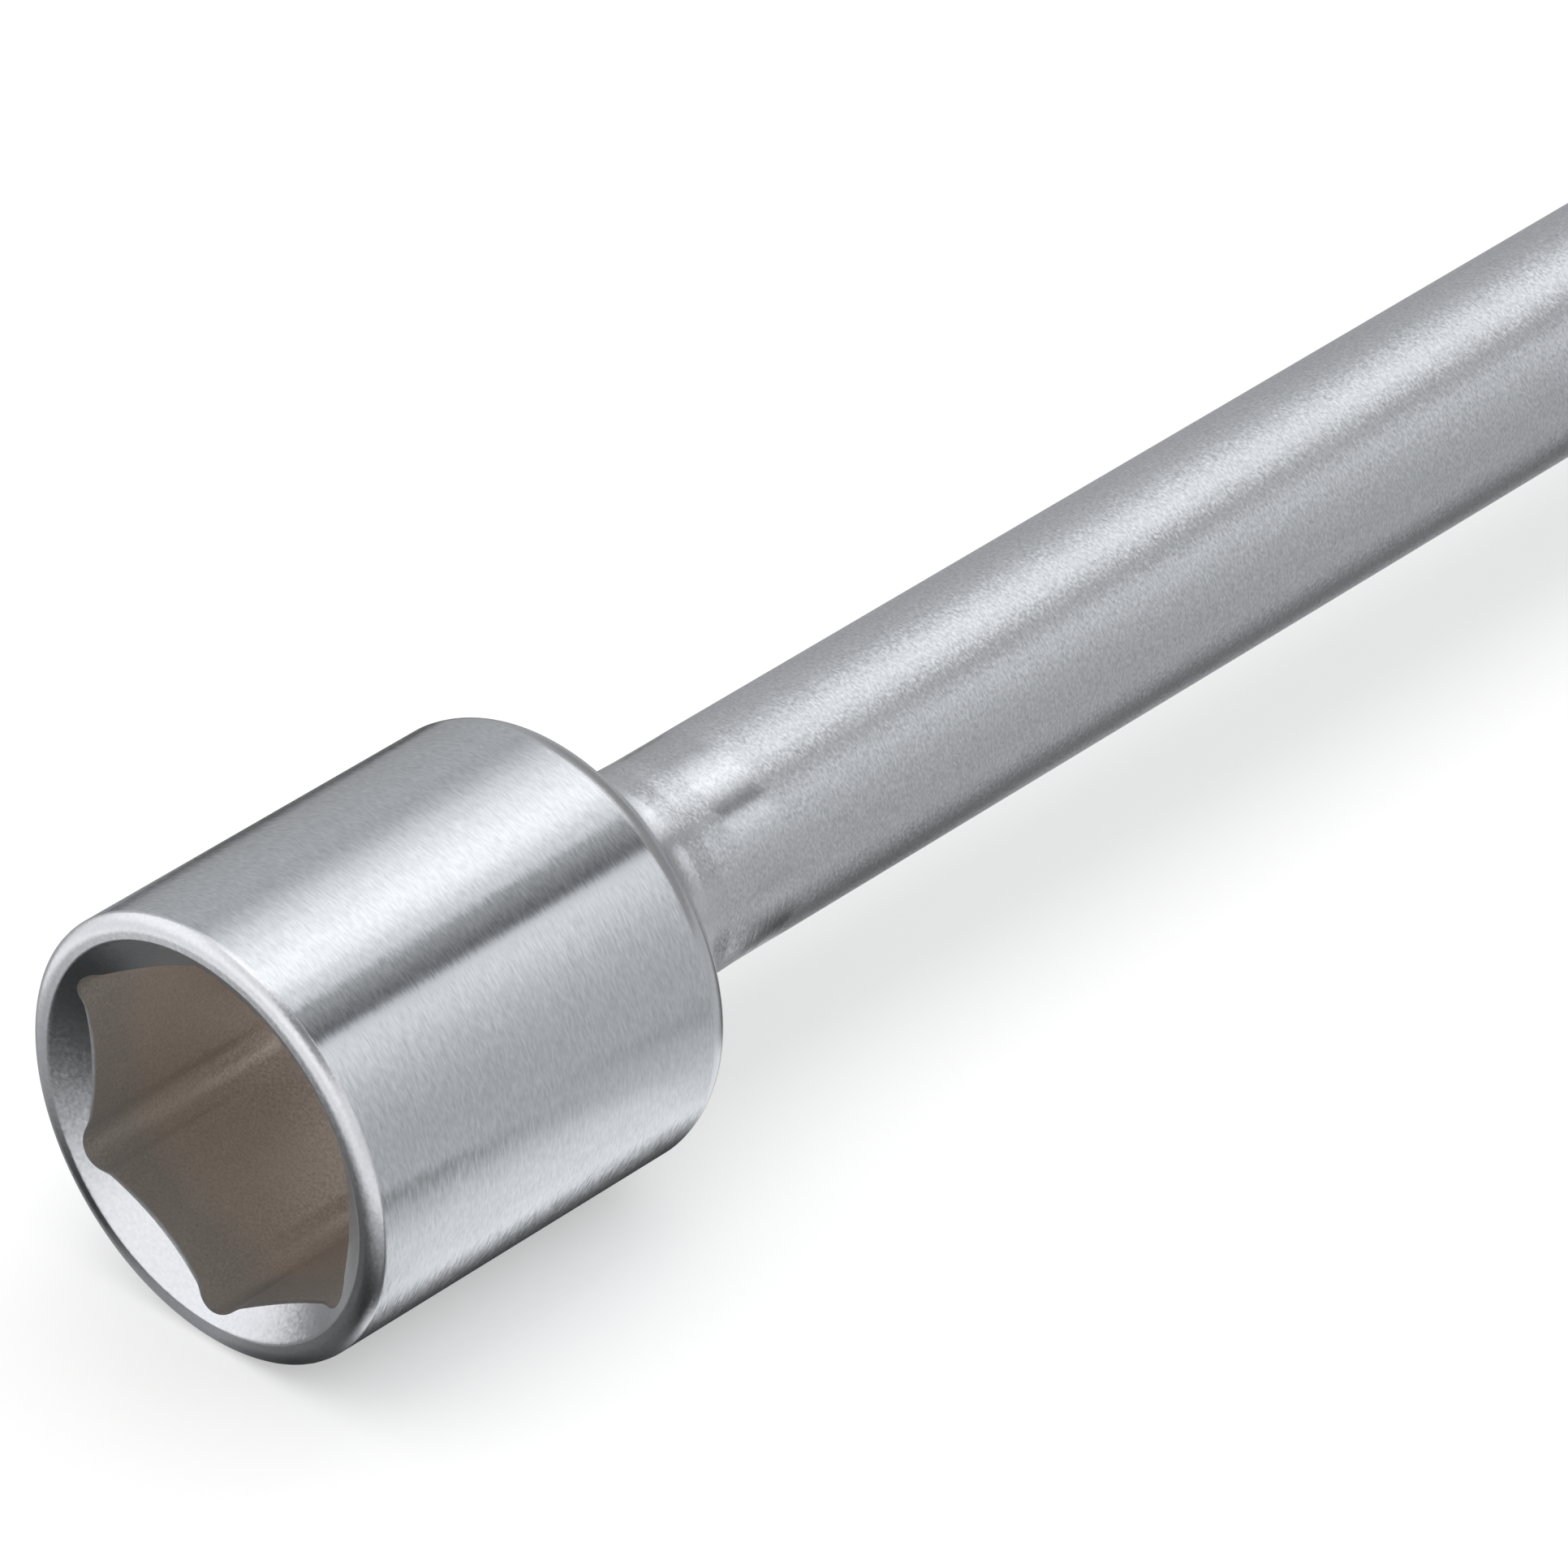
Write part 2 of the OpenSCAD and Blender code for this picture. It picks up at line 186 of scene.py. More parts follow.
# Rings on the cone and on the wall behind it, as shares of their length; close ones round the edge
CONE_SHARES = (0.04, 0.1, 0.25, 0.5, 0.75, 0.9, 0.955)
WALL_SHARES = (0.009, 0.013, 0.03, 0.1, 0.2, 0.35, 0.5, 0.65, 0.8, 0.95, 1.0)
# Rings of the bar, by their distance from its middle and by the angle on the groove's round end
BAR_PLACES = (0.0, 8, 20, 40, 60, 80, 95)
RUN_OUT_ANGLES = (0, 20, 40, 55, 68, 78, 85, 89)

# The camera that took the photograph, as fitted to the socket's outline
PHOTO_SIZE = 1932
FOCAL_PX = 14563.8
VIEW_AZIMUTH = 43.68
VIEW_ELEVATION = 34.61
MOUTH_PX = (257.2, 1403.6)
MOUTH_DISTANCE = 47.06 * SOCKET_R

# Levels of the studio: the plain one for matt surfaces, the others for metal
PLAIN_LEVEL = 0.75
FRONT_LEVEL = 1.1
BACK_LEVEL = 0.26
LIGHT_TINT = (0.985, 0.995, 1.01)

# Where one light of the studio takes over from another, as the Y part of the direction
BEHIND_MOUTH = (-0.15, 0.1)
STRAIGHT_IN_FRONT = (-0.86, -0.94)
STRAIGHT_BEHIND = (0.70, 0.86)

# Its strips behind and before the mouth, by the angle round the shank from +X over the top
STRIPS_BEHIND = [
    (-180, 0.4), (0, 0.48), (10, 0.51), (20, 0.59), (27, 0.64), (36, 0.78), (45, 0.92), (50, 0.92),
    (55, 0.92), (58, 0.06), (64, 0.22), (70, 0.37), (76, 0.35), (82, 0.36), (90, 0.76), (100, 0.82),
    (110, 0.59), (120, 1.01), (130, 0.65), (140, 0.43), (150, 0.51), (160, 0.44), (170, 0.45),
    (180, 0.4),
]
STRIPS_BEFORE = [
    (-180, 0.4), (0, 0.6), (30, 0.9), (60, 0.1), (80, 0.1), (100, 1.1), (120, 0.6), (135, 1.1),
    (150, 1.1), (165, 1.1), (180, 1),
]

# The table's painted light and shadow that metal sees, by the distance across it from the shank's line, in
# millimetres
TABLE_EDGE = 160
# The low levels just beside the shank's line are painted shadows of the socket and of the shank
TABLE_BY_SOCKET = [
    (-160, 0.4), (-40, 0.3), (-15, 0.3), (0, 0.25), (5, 0.06), (9, 0.07), (11, 0.28), (13, 1.08),
    (16, 0.83), (20, 0.84), (25, 0.72), (32, 0.56), (45, 0.28), (60, 0.2), (90, 0.8), (160, 0.63),
]
TABLE_BY_NECK = [(-160, 0.4), (-10, 0.3), (4, 0.4), (9, 0.9), (14, 0.78), (25, 0.56), (160, 0.4)]
TABLE_BY_SHANK = [
    (-160, 0.38), (-40, 0.4), (-15, 0.5), (-5, 0.5), (0, 0.6), (3, 0.33), (6, 0.09), (9, 0.15),
    (13, 0.32), (17, 0.51), (24, 0.48), (36, 0.39), (60, 0.46), (90, 0.49), (160, 0.46),
]
TABLE_SHADOW_BEYOND = [(-160, 0.36), (-130, 0.32), (-100, 0.2), (-63, 0.05), (-40, 0.03)]
# And before the mouth, by the distance from the point under it; the dark ring near that point is a painted
# shadow
TABLE_BEFORE = [
    (0, 0.42), (6, 0.24), (12, 0), (18, 0.01), (26, 0.31), (36, 0.38), (50, 1.1), (80, 0.81),
    (160, 0.82),
]

# Where one stretch of the table takes over from the last, in millimetres back from the mouth
SOCKET_STRETCH = (-4, 0)
NECK_STRETCH = (29, 33)
SHANK_STRETCH = (40, 44)

# Three patches of painted shade on the table that metal reflects: beside the lip, and painted shadows
# under the shank and beyond the socket, by the places where they start, are full, fade and end
SHADE_BY_LIP_LEVEL = 0.06
SHADE_BY_LIP_ACROSS = (13, 16, 40, 60)
SHADE_BY_LIP_FADES = (4, 8)
SHADOW_UNDER_SHARE = 0.42
SHADOW_UNDER_ACROSS = (0, 3, 6, 9)
SHADOW_UNDER_FADES = (54, 66)
SHADOW_BEYOND_BACK = (36, 42, 74, 84)
SHADOW_BEYOND_FADES = (-48, -42)

# The floor, in metres
FLOOR_TONE = (0.86, 0.86, 0.86, 1)
FLOOR_LIFT = 0.35  # light of its own that only the camera sees
FLOOR_HALF = 3.0
FLOOR_GAP = 0.00005  # below the object

# Chrome; a grain is how far the surface leans to either side, and pits are the tone's darkest share
BRUSHED_TONE = (0.825, 0.85, 0.882)
BLASTED_TONE = (0.832, 0.85, 0.878)
GROUND_GRAIN_ROUND = 0.03
GROUND_GRAIN_ALONG = 0.16
GROUND_ROUGH = 0.22
TURNED_GRAIN = 0.03
TURNED_ROUGH = 0.24
TURNED_PITS = 0.93


def place_on_shank(points):
    """Points given as (x, distance back from the mouth, z from the axis), in metres in the frame."""
    return (np.asarray(points) + (0, MOUTH_Y, AXIS_Z)) * MM


def place_on_bar(points):
    """Points given as (x, y from the bar's axis, z from the bar's axis), in metres in the frame."""
    return (np.asarray(points) + (0, BAR_Y, AXIS_Z)) * MM


def soft_step(share):
    """A share from 0 to 1 that starts and ends level."""
    return share * share * (3 - 2 * share)


def arc(r, y, w, l, a0, a1, steps=12):
    """Part of an ellipse about (r, y) with half axes w and l, from angle a0 to a1."""
    a = np.radians(np.linspace(a0, a1, steps + 1))
    return [(r + w * math.cos(t), y + l * math.sin(t)) for t in a]


def straight(p, q, steps, hold=0.03):
    """Points from p to q with a close one at each end, so that shading stays flat between."""
    p, q = np.array(p, float), np.array(q, float)
    length = np.linalg.norm(q - p)
    near = min(hold / length, 0.2)
    return [tuple(p + (q - p) * t) for t in [0, near, *np.linspace(0, 1, steps + 1)[1:-1], 1 - near, 1]]


def ease(p, q, steps):
    """Points (radius, place) of a soft step: the radius starts and ends level, p and q included."""
    share = np.linspace(0, 1, steps)
    return [(p[0] + (q[0] - p[0]) * s, p[1] + (q[1] - p[1]) * t) for s, t in zip(soft_step(share), share)]


def outline(*parts):
    """Joins stretches of outline and drops points that repeat."""
    points = []
    for p in (p for part in parts for p in part):
        if not points or math.dist(p, points[-1]) > 1e-4:
            points.append(tuple(p))
    return points


def circle_angles(n):
    """So many angles, evenly spread over a full turn."""
    return np.linspace(0, 2 * math.pi, n, endpoint=False)


def from_nearest(angles, sides, turn=0.0):
    """Angle from the nearest of so many directions; the first one lies at the turn."""
    step = 2 * math.pi / sides
    return (angles - turn + step / 2) % step - step / 2


def rings_about(axis, profile, angles, clip=None):
    """Rings of points round the shank's axis, "y", or the bar's, one for each (radius, place)."""
    rings = []
    for r, at in profile:
        radius = np.full(len(angles), float(r)) if clip is None else clip(r, at, angles)
        across, up, along = radius * np.cos(angles), radius * np.sin(angles), np.full(len(angles), at)
        rings.append(np.c_[across, along, up] if axis == "y" else np.c_[along, across, up])
    return rings


def scene_object(name, data):
    """A new object in the scene, for a mesh, a lamp or a camera."""
    obj = bpy.data.objects.new(name, data)
    bpy.context.scene.collection.objects.link(obj)
    return obj


def mesh_object(name, points, faces):
    """A closed mesh with its faces outwards."""
    mesh = bpy.data.meshes.new(name)
    mesh.from_pydata(points.tolist(), [], faces)
    mesh.validate()
    obj = scene_object(name, mesh)
    mesh.calc_loop_triangles()
    co = np.array([v.co for v in mesh.vertices])
    tri = np.array([t.vertices for t in mesh.loop_triangles])
    volume = np.einsum("ij,ij->i", co[tri[:, 0]], np.cross(co[tri[:, 1]], co[tri[:, 2]])).sum()
    if volume < 0:
        mesh.flip_normals()
    return obj


def loft(name, rings, place, start, end):
    """A closed mesh through rings of points, with a fan to one point at each end."""
    n = len(rings[0])
    first, final = (np.asarray(p, float).reshape(1, 3) for p in (start, end))
    points = np.concatenate([first, *rings, final])
    here, beside = np.arange(n), (np.arange(n) + 1) % n
    faces = [np.c_[np.zeros(n, int), 1 + here, 1 + beside].tolist()]
    for k in range(len(rings) - 1):
        a, b = 1 + k * n, 1 + (k + 1) * n
        faces.append(np.c_[a + here, b + here, b + beside, a + beside].tolist())
    last = 1 + (len(rings) - 1) * n
    faces.append(np.c_[last + here, np.full(n, len(points) - 1), last + beside].tolist())
    return mesh_object(name, place(points), [f for part in faces for f in part])


def smooth(obj, angle):
    """Smooth shading with sharp edges where faces meet at more than the angle."""
    obj.data.shade_smooth()
    obj.data.set_sharp_from_angle(angle=math.radians(angle))
    return obj


def cut(obj, *cutters):
    """Takes the cutters' volumes out of the mesh and deletes them."""
    for cutter in cutters:
        modifier = obj.modifiers.new("cut", "BOOLEAN")
        modifier.operation = "DIFFERENCE"
        modifier.solver = "EXACT"
        modifier.object = cutter
        bpy.context.view_layer.update()
        shape = bpy.data.meshes.new_from_object(obj.evaluated_get(bpy.context.evaluated_depsgraph_get()))
        obj.modifiers.clear()
        obj.data = shape
        bpy.data.objects.remove(cutter)


def spindle(name, profile, direction, centre, n=96):
    """A turned cutter: (radius, place) pairs along the direction through the centre, in millimetres."""
    turn = Vector((0, 1, 0)).rotation_difference(Vector(direction)).to_matrix()
    angles = circle_angles(n)

    def place(points):
        return (np.asarray(points) @ np.array(turn).T + np.array(centre)) * MM

    first, last = profile[0][1], profile[-1][1]
    return loft(name, rings_about("y", profile, angles), place, (0, first, 0), (0, last, 0))


# Geometry of the socket and the shank


def hexagon_radius(angles):
    """Radius of the nut opening at each angle: flats, with a round groove in each corner."""
    half = HEX_AF / 2
    groove_at = CORNER_SHARE * half / math.cos(math.radians(30)) - RELIEF_R
    from_corner = from_nearest(angles, 6, math.pi / 2)
    flat = half / np.cos(math.pi / 6 - np.abs(from_corner))
    # The sharp corner is cut off inside the groove
    flat = np.minimum(flat, math.hypot(half, groove_at / 2))
    inside = RELIEF_R ** 2 - (groove_at * np.sin(from_corner)) ** 2
    groove = np.where(inside > 0, groove_at * np.cos(from_corner) + np.sqrt(np.maximum(inside, 0)), 0)
    sharp = np.maximum(flat, groove)
    shifts = range(-HEX_WEAR, HEX_WEAR + 1)
    return sum(np.roll(sharp, k) for k in shifts) / len(shifts)


def wander(angles, seed, waves=9):
    """A smooth closed random line round the circumference, from about -1 to 1."""
    rng = np.random.default_rng(seed)
    total = np.zeros(len(angles))
    for k in range(1, waves + 1):
        count = int(rng.integers(k, 6 * k + 3))
        total += np.sin(count * angles + rng.uniform(0, 2 * math.pi)) / math.sqrt(k)
    usual_reach = 2.2
    return total / usual_reach


def socket_piece():
    """Socket with its lip, lead-in cone, grooved hexagon, blind bore, shoulder, flare and neck."""
    angles = circle_angles(SOCKET_POINTS)
    round_it = np.c_[np.cos(angles), np.sin(angles)]
    body_end = LIP_L + BODY_L

    # Outside, from the weld to the body
    dressed_r = SHANK_R - DRESSED_DEPTH
    dressed_start = WELD_AT - DRESSED_L / 2
    step_end = dressed_start - NECK_STEP_L
    neck_r = SHANK_R + NECK_SWELL
    flare_end = body_end + SHOULDER_L + FLARE_L
    flare_top_r = SOCKET_R - SHOULDER_W
    rim_lean = math.radians(RIM_ANGLE)
    shoulder_back = SHOULDER_L * math.sin(rim_lean) / (1 - math.sin(rim_lean))
    shoulder_w = SHOULDER_W / math.cos(rim_lean)
    shoulder_l = SHOULDER_L + shoulder_back
    outside = outline(
        [(HUB_R, WELD_AT), (dressed_r - WELD_RING, WELD_AT)],
        straight((dressed_r, WELD_AT), (dressed_r, dressed_start + STEP_INSIDE), 4),
        ease((dressed_r, dressed_start + STEP_INSIDE), (SHANK_R + STEP_RISE, step_end), 12),
        straight((SHANK_R + TAPER_RISE, step_end - TAPER_GAP), (neck_r, flare_end), 4),
        arc(flare_top_r, flare_end, neck_r - flare_top_r, -FLARE_L, 0, 90, 24),
        arc(flare_top_r, body_end - shoulder_back, shoulder_w, shoulder_l, 90, RIM_ANGLE + LAP_ANGLE, 18),
    )
    rings = rings_about("y", outside, angles)

    # The brushed face, between two uneven edges
    def uneven_ring(at, line):
        ring = rings_about("y", [(SOCKET_R, at)], angles)[0]
        ring[:, 1] += EDGE_WANDER * line
        return ring

    hold = 0.1
    edge_at = LIP_L + EDGE_L
    brushed_from = len(rings)
    rings.append(uneven_ring(body_end, wander(angles, 4)))
    body = straight((SOCKET_R, body_end - hold), (SOCKET_R, edge_at + hold), 12, hold)
    rings += rings_about("y", body, angles)
    brushed_to = len(rings)
    rings.append(uneven_ring(edge_at, wander(angles, 5, waves=24)))

    # The lip: part of a circle from the outside to its crest, then a flat face
    crest_r = SOCKET_R - LIP_W
    mouth_r = crest_r - LIP_FACE_W
    round_r = (LIP_W ** 2 + LIP_L ** 2) / (2 * LIP_L)
    round_angle = math.degrees(math.asin(LIP_W / round_r))
    lip = arc(crest_r, round_r, round_r, round_r, round_angle - 90 - LAP_ANGLE, -90, 14)
    face = straight((crest_r, 0), (mouth_r + LIP_BEND, 0), 2, hold=0.02)
    rings += rings_about("y", outline(lip, face, [(mouth_r + LIP_BEND / 4, LIP_BEND / 6)]), angles)

    # The cone ends where it meets the flats, and the wall behind follows each flat and groove
    hexagon = hexagon_radius(angles)[:, None] * round_it + HEX_OFF
    slope = math.tan(math.radians(LEAD_IN_ANGLE))
    meets = (mouth_r - np.hypot(*hexagon.T)) / slope
    for share in CONE_SHARES:
        x, z = (mouth_r * round_it * (1 - share) + hexagon * share).T
        rings.append(np.c_[x, meets * share, z])
    wall_from = len(rings)
    for share in WALL_SHARES:
        rings.append(np.c_[hexagon[:, 0], meets + (HEX_L - meets) * share, hexagon[:, 1]])

    # The blind bore behind the hexagon, with its ledge, chamfer and drilled bottom
    bore_end = HEX_L + BOLT_BORE_L
    tip = bore_end + BOLT_BORE_R / math.tan(math.radians(DRILL_ANGLE))
    chamfer_end = HEX_L + BORE_CHAMFER
    rings += rings_about("y", outline(
        [(BOLT_BORE_R + BORE_LEDGE_W, HEX_L), (BOLT_BORE_R + BORE_CHAMFER, HEX_L)],
        straight((BOLT_BORE_R, chamfer_end), (BOLT_BORE_R, bore_end), 3),
        straight((BOLT_BORE_R, bore_end), (TIP[0], tip - TIP[1]), 3),
    ), angles)
    obj = loft("socket_forging", rings, place_on_shank, (0, WELD_AT, 0), (0, tip, 0))
    smooth(obj, 28)
    assign_zones(obj, [(0, 0), (brushed_from, 1), (brushed_to, 2), (wall_from, 3)])
    mark_dressed(obj)
    return obj


def assign_zones(obj, starts):
    """Gives the faces of each stretch of rings its material slot: (first ring, slot) pairs in order."""
    index = np.arange(len(obj.data.polygons))
    ring = np.maximum(index - SOCKET_POINTS, 0) // SOCKET_POINTS
    slots = np.zeros(len(index), int)
    for first, slot in starts:
        slots[(ring >= first) & (index >= SOCKET_POINTS)] = slot
    obj.data.polygons.foreach_set("material_index", slots)


def mark_dressed(obj):
    """Stores how far each point is ground at the weld and turned at the shoulder, with ragged edges."""
    co = np.array([v.co for v in obj.data.vertices]) / MM
    at = co[:, 1] - MOUTH_Y - WELD_AT
    angle = np.arctan2(co[:, 2] - AXIS_Z, co[:, 0])
    ragged = RAGGED * wander(angle, 11) + RAGGED_FINE * wander(angle, 12, waves=16)
    fade = np.where(at < 0, NECK_FADE_L, SHANK_FADE_L)
    ground = np.clip((DRESSED_L / 2 + DRESSED_SPILL - np.abs(at + ragged)) / fade, 0, 1)
    from_body = co[:, 1] - MOUTH_Y - LIP_L - BODY_L
    turned = np.clip((TURNED_L - from_body + 2 * ragged) / TURNED_FADE_L, 0, 1)
    turned *= from_body > -TURNED_BEFORE
    for label, share in (("dressed", ground), ("turned", turned)):
        attribute = obj.data.attributes.new(label, "FLOAT", "POINT")
        attribute.data.foreach_set("value", soft_step(share).astype(np.float32))


def shank_piece():
    """Round shank from the weld to the collar, and its hexagon spigot."""
    dressed_r = SHANK_R - DRESSED_DEPTH
    dressed_end = WELD_AT + DRESSED_L / 2
    step_start, step_end = dressed_end - STEP_INSIDE, dressed_end + SHANK_STEP_L
    seat_end = COLLAR_AT + SEAT_L
    chamfer = SPIGOT_AF / 12
    spigot_end = BAR_Y - MOUTH_Y - BAR_R - WEB_L - chamfer / 2
    chamfer_at = spigot_end - chamfer
    half = SPIGOT_AF / 2

    def spigot(r, at, a):
        if at <= seat_end:
            return np.full(len(a), float(r))
        return np.minimum(r, half / np.cos(from_nearest(a, 6)))

    # The round bar turns into its hexagon in one thin step at the end of the seat
    profile = outline(
        [(HUB_R, WELD_AT), (dressed_r - WELD_RING, WELD_AT), (dressed_r, WELD_AT)],
        straight((dressed_r, WELD_AT), (dressed_r, step_start), 4),
        ease((dressed_r, step_start), (SHANK_R, step_end), 10),
        straight((SHANK_R, step_end + 0.1), (SHANK_R, seat_end), 40),
        [(SHANK_R, seat_end + 0.001)],
        straight((SHANK_R, seat_end + 0.01), (SHANK_R, chamfer_at), 3),
        straight((SHANK_R - 0.1, chamfer_at), (half - chamfer, spigot_end), 2),
    )
    rings = rings_about("y", profile, circle_angles(TURNED_POINTS), spigot)
    obj = loft("shank_bar", rings, place_on_shank, (0, WELD_AT, 0), (0, spigot_end, 0))
    smooth(obj, 28)
    mark_dressed(obj)
    return obj


# Geometry of the handle


def head_piece():
    """Square block with turned corners and collar, cross bore, pin hole and detent bore."""
    half = HEAD_AF / 2
    block = COLLAR_AT + COLLAR_L
    collar_fillet = COLLAR_L / 4
    foot_r = COLLAR_R + collar_fillet / 2
    foot_edge_at = half - HEAD_EDGE_L
    cone_end = block + HEAD_R - half
    chamfer_at = HEAD_END - 2 * HEAD_CHAMFER
    chamfer_r = HEAD_R - 2 * HEAD_CHAMFER
    screw_face_r = SCREW_R + 1
    edge_r, edge_l = HEAD_EDGE_R, HEAD_EDGE_L
    past = edge_r - edge_l

    def milled(r, at, a):
        if at < block:
            return np.full(len(a), float(r))
        flat = half / np.cos(from_nearest(a, 4))
        near = np.maximum(MILLED_EDGE_W - np.abs(r - flat), 0) / MILLED_EDGE_W
        return np.minimum(r, flat) - near * near * MILLED_EDGE_W / 4

    profile = outline(
        [(HUB_R, COLLAR_AT)],
        straight((SHANK_R + FIT_GAP, COLLAR_AT), (COLLAR_R - HEAD_CHAMFER, COLLAR_AT), 2),
        straight((COLLAR_R - HEAD_CHAMFER, COLLAR_AT), (COLLAR_R, COLLAR_AT + HEAD_CHAMFER), 3),
        straight((COLLAR_R, COLLAR_AT + HEAD_CHAMFER), (COLLAR_R, block - collar_fillet), 4),
        arc(foot_r, block - collar_fillet, -collar_fillet / 2, collar_fillet, 0, 84, 10),
        straight((foot_r, block), (foot_edge_at, block), 2),
        arc(foot_edge_at, block + FOOT_EDGE_R, FOOT_EDGE_R, FOOT_EDGE_R, -90, -45, 4),
        straight((half + FOOT_EDGE_L, block + FOOT_EDGE_L), (HEAD_R - edge_l, cone_end - edge_l), 16, 0.1),
        arc(HEAD_R - edge_r, cone_end + past, edge_r, edge_r, -45, 0, 4),
        straight((HEAD_R, cone_end + edge_l), (HEAD_R, chamfer_at - edge_l), 40),
        arc(HEAD_R - edge_r, chamfer_at - past, edge_r, edge_r, 0, 45, 4),
        straight((HEAD_R - past, chamfer_at + past), (chamfer_r + past, HEAD_END - past), 24, 0.1),
        arc(chamfer_r - edge_l, HEAD_END - edge_r, edge_r, edge_r, 45, 90, 4),
        straight((chamfer_r - edge_l, HEAD_END), (screw_face_r, HEAD_END), 2),
    )
    rings = rings_about("y", profile, circle_angles(TURNED_POINTS), milled)
    obj = loft("head_block", rings, place_on_shank, (0, COLLAR_AT, 0), (0, HEAD_END, 0))

    bore_r = BAR_R + RUNNING_GAP
    mouth = BAR_R / 7
    half_bore = [(bore_r, half - mouth), (bore_r + mouth, half),
                 (bore_r + mouth + CUT_PAST, half + CUT_PAST)]
    cross_bore = spindle("cross_bore", mirrored(half_bore), (1, 0, 0), (0, BAR_Y, AXIS_Z), 160)
    pin_y = MOUTH_Y + COLLAR_AT + SEAT_L + (COLLAR_L - SEAT_L) / 2
    pin_hole = spindle("pin_hole", mirrored([(HEAD_PIN_R, SOCKET_R)]), (0, 0, 1), (0, pin_y, AXIS_Z), 64)
    screw_gap_r = SCREW_R + FIT_GAP
    screw = [(screw_gap_r, -SCREW_SEAT_L), (screw_gap_r, -SCREW_CHAMFER), (SCREW_R + SCREW_CHAMFER, 0),
             (SCREW_R + SCREW_CHAMFER + CUT_PAST, CUT_PAST)]
    screw_bore = spindle("screw_bore", screw, (0, 1, 0), (0, MOUTH_Y + HEAD_END, AXIS_Z))
    seat_r = SHANK_R + FIT_GAP
    seat = [(seat_r + CUT_PAST, -CUT_PAST), (seat_r, 0), (seat_r, SEAT_L)]
    shank_seat = spindle("shank_seat", seat, (0, 1, 0), (0, MOUTH_Y + COLLAR_AT, AXIS_Z))
    cut(obj, cross_bore, pin_hole, screw_bore, shank_seat)
    return smooth(obj, 30)


def mirrored(half_profile):
    """A cutter's profile whose first half mirrors the one given."""
    return [(r, -at) for r, at in reversed(half_profile)] + half_profile


def spring_piece():
    """Coil of round wire between the ball and the screw."""
    wire_r = SPRING_WIRE_R
    coil_r = (spring_high.x - spring_low.x) / 2 / MM - wire_r
    first = spring_low.y / MM - MOUTH_Y + wire_r
    rise = (spring_high.y - spring_low.y) / MM - 2 * wire_r
    roll = circle_angles(16)
    reach, lift = coil_r + wire_r * np.cos(roll), wire_r * np.sin(roll)
    rings = []
    for share in np.linspace(0, 1, 48 * SPRING_TURNS + 1):
        turn = 2 * math.pi * SPRING_TURNS * share
        rings.append(np.c_[reach * math.cos(turn), first + rise * share + lift, reach * math.sin(turn)])
    obj = loft("coil_spring", rings, place_on_shank, rings[0].mean(0), rings[-1].mean(0))
    return smooth(obj, 40)


def bar_piece():
    """Cross bar with the long ball groove and its run-out at each end."""
    ball_at = BAR_R - GROOVE_DEPTH + BALL_GAP + BALL_R
    groove_r = BALL_R + BALL_GAP
    chamfer = BAR_R / 6
    within = np.linspace(-1, 1, 41)
    around = np.linspace(0, 1, 141)[1:-1]

    def turn_points(edge):
        """Angles of a ring: a strip for the groove, from -edge to edge, and the rest round the bar."""
        return np.r_[within * edge, edge + around * (2 * math.pi - 2 * edge)]

    # Rings along the groove and down its run-out, then just past it and at the end's chamfer
    run_out_l = math.sqrt(groove_r ** 2 - (ball_at - BAR_R) ** 2)
    run_out = GROOVE_HALF_L + run_out_l * np.sin(np.radians(RUN_OUT_ANGLES))
    half = np.r_[BAR_PLACES, GROOVE_HALF_L - 1, run_out, GROOVE_HALF_L + run_out_l + 0.5,
                 BAR_END - chamfer - 0.05, BAR_END - chamfer]
    rings = []
    for x in np.r_[-half[:0:-1], half]:
        beyond = max(abs(x) - GROOVE_HALF_L, 0)
        radius = math.sqrt(max(groove_r ** 2 - beyond ** 2, 0))
        edge = LEAST_TURN
        if radius > ball_at - BAR_R + 1e-6:
            cosine = (ball_at ** 2 + BAR_R ** 2 - radius ** 2) / (2 * ball_at * BAR_R)
            edge = max(math.acos(min(cosine, 1)), LEAST_TURN)
        a = turn_points(edge)
        room = radius ** 2 - (ball_at * np.sin(a)) ** 2
        bottom = ball_at * np.cos(a) - np.sqrt(np.maximum(room, 0))
        grooved = (np.arange(len(a)) < len(within)) & (room > 0)
        r = np.where(grooved, np.minimum(BAR_R, bottom), BAR_R)
        rings.append(np.c_[np.full(len(a), x), r * np.cos(a), r * np.sin(a)])
    a = turn_points(LEAST_TURN)
    end_r = BAR_R - chamfer
    tip = np.c_[np.full(len(a), BAR_END), end_r * np.cos(a), end_r * np.sin(a)]
    rings = [tip * (-1, 1, 1), *rings, tip]
    obj = loft("cross_bar", rings, place_on_bar, (-BAR_END, 0, 0), (BAR_END, 0, 0))
    return smooth(obj, 25)


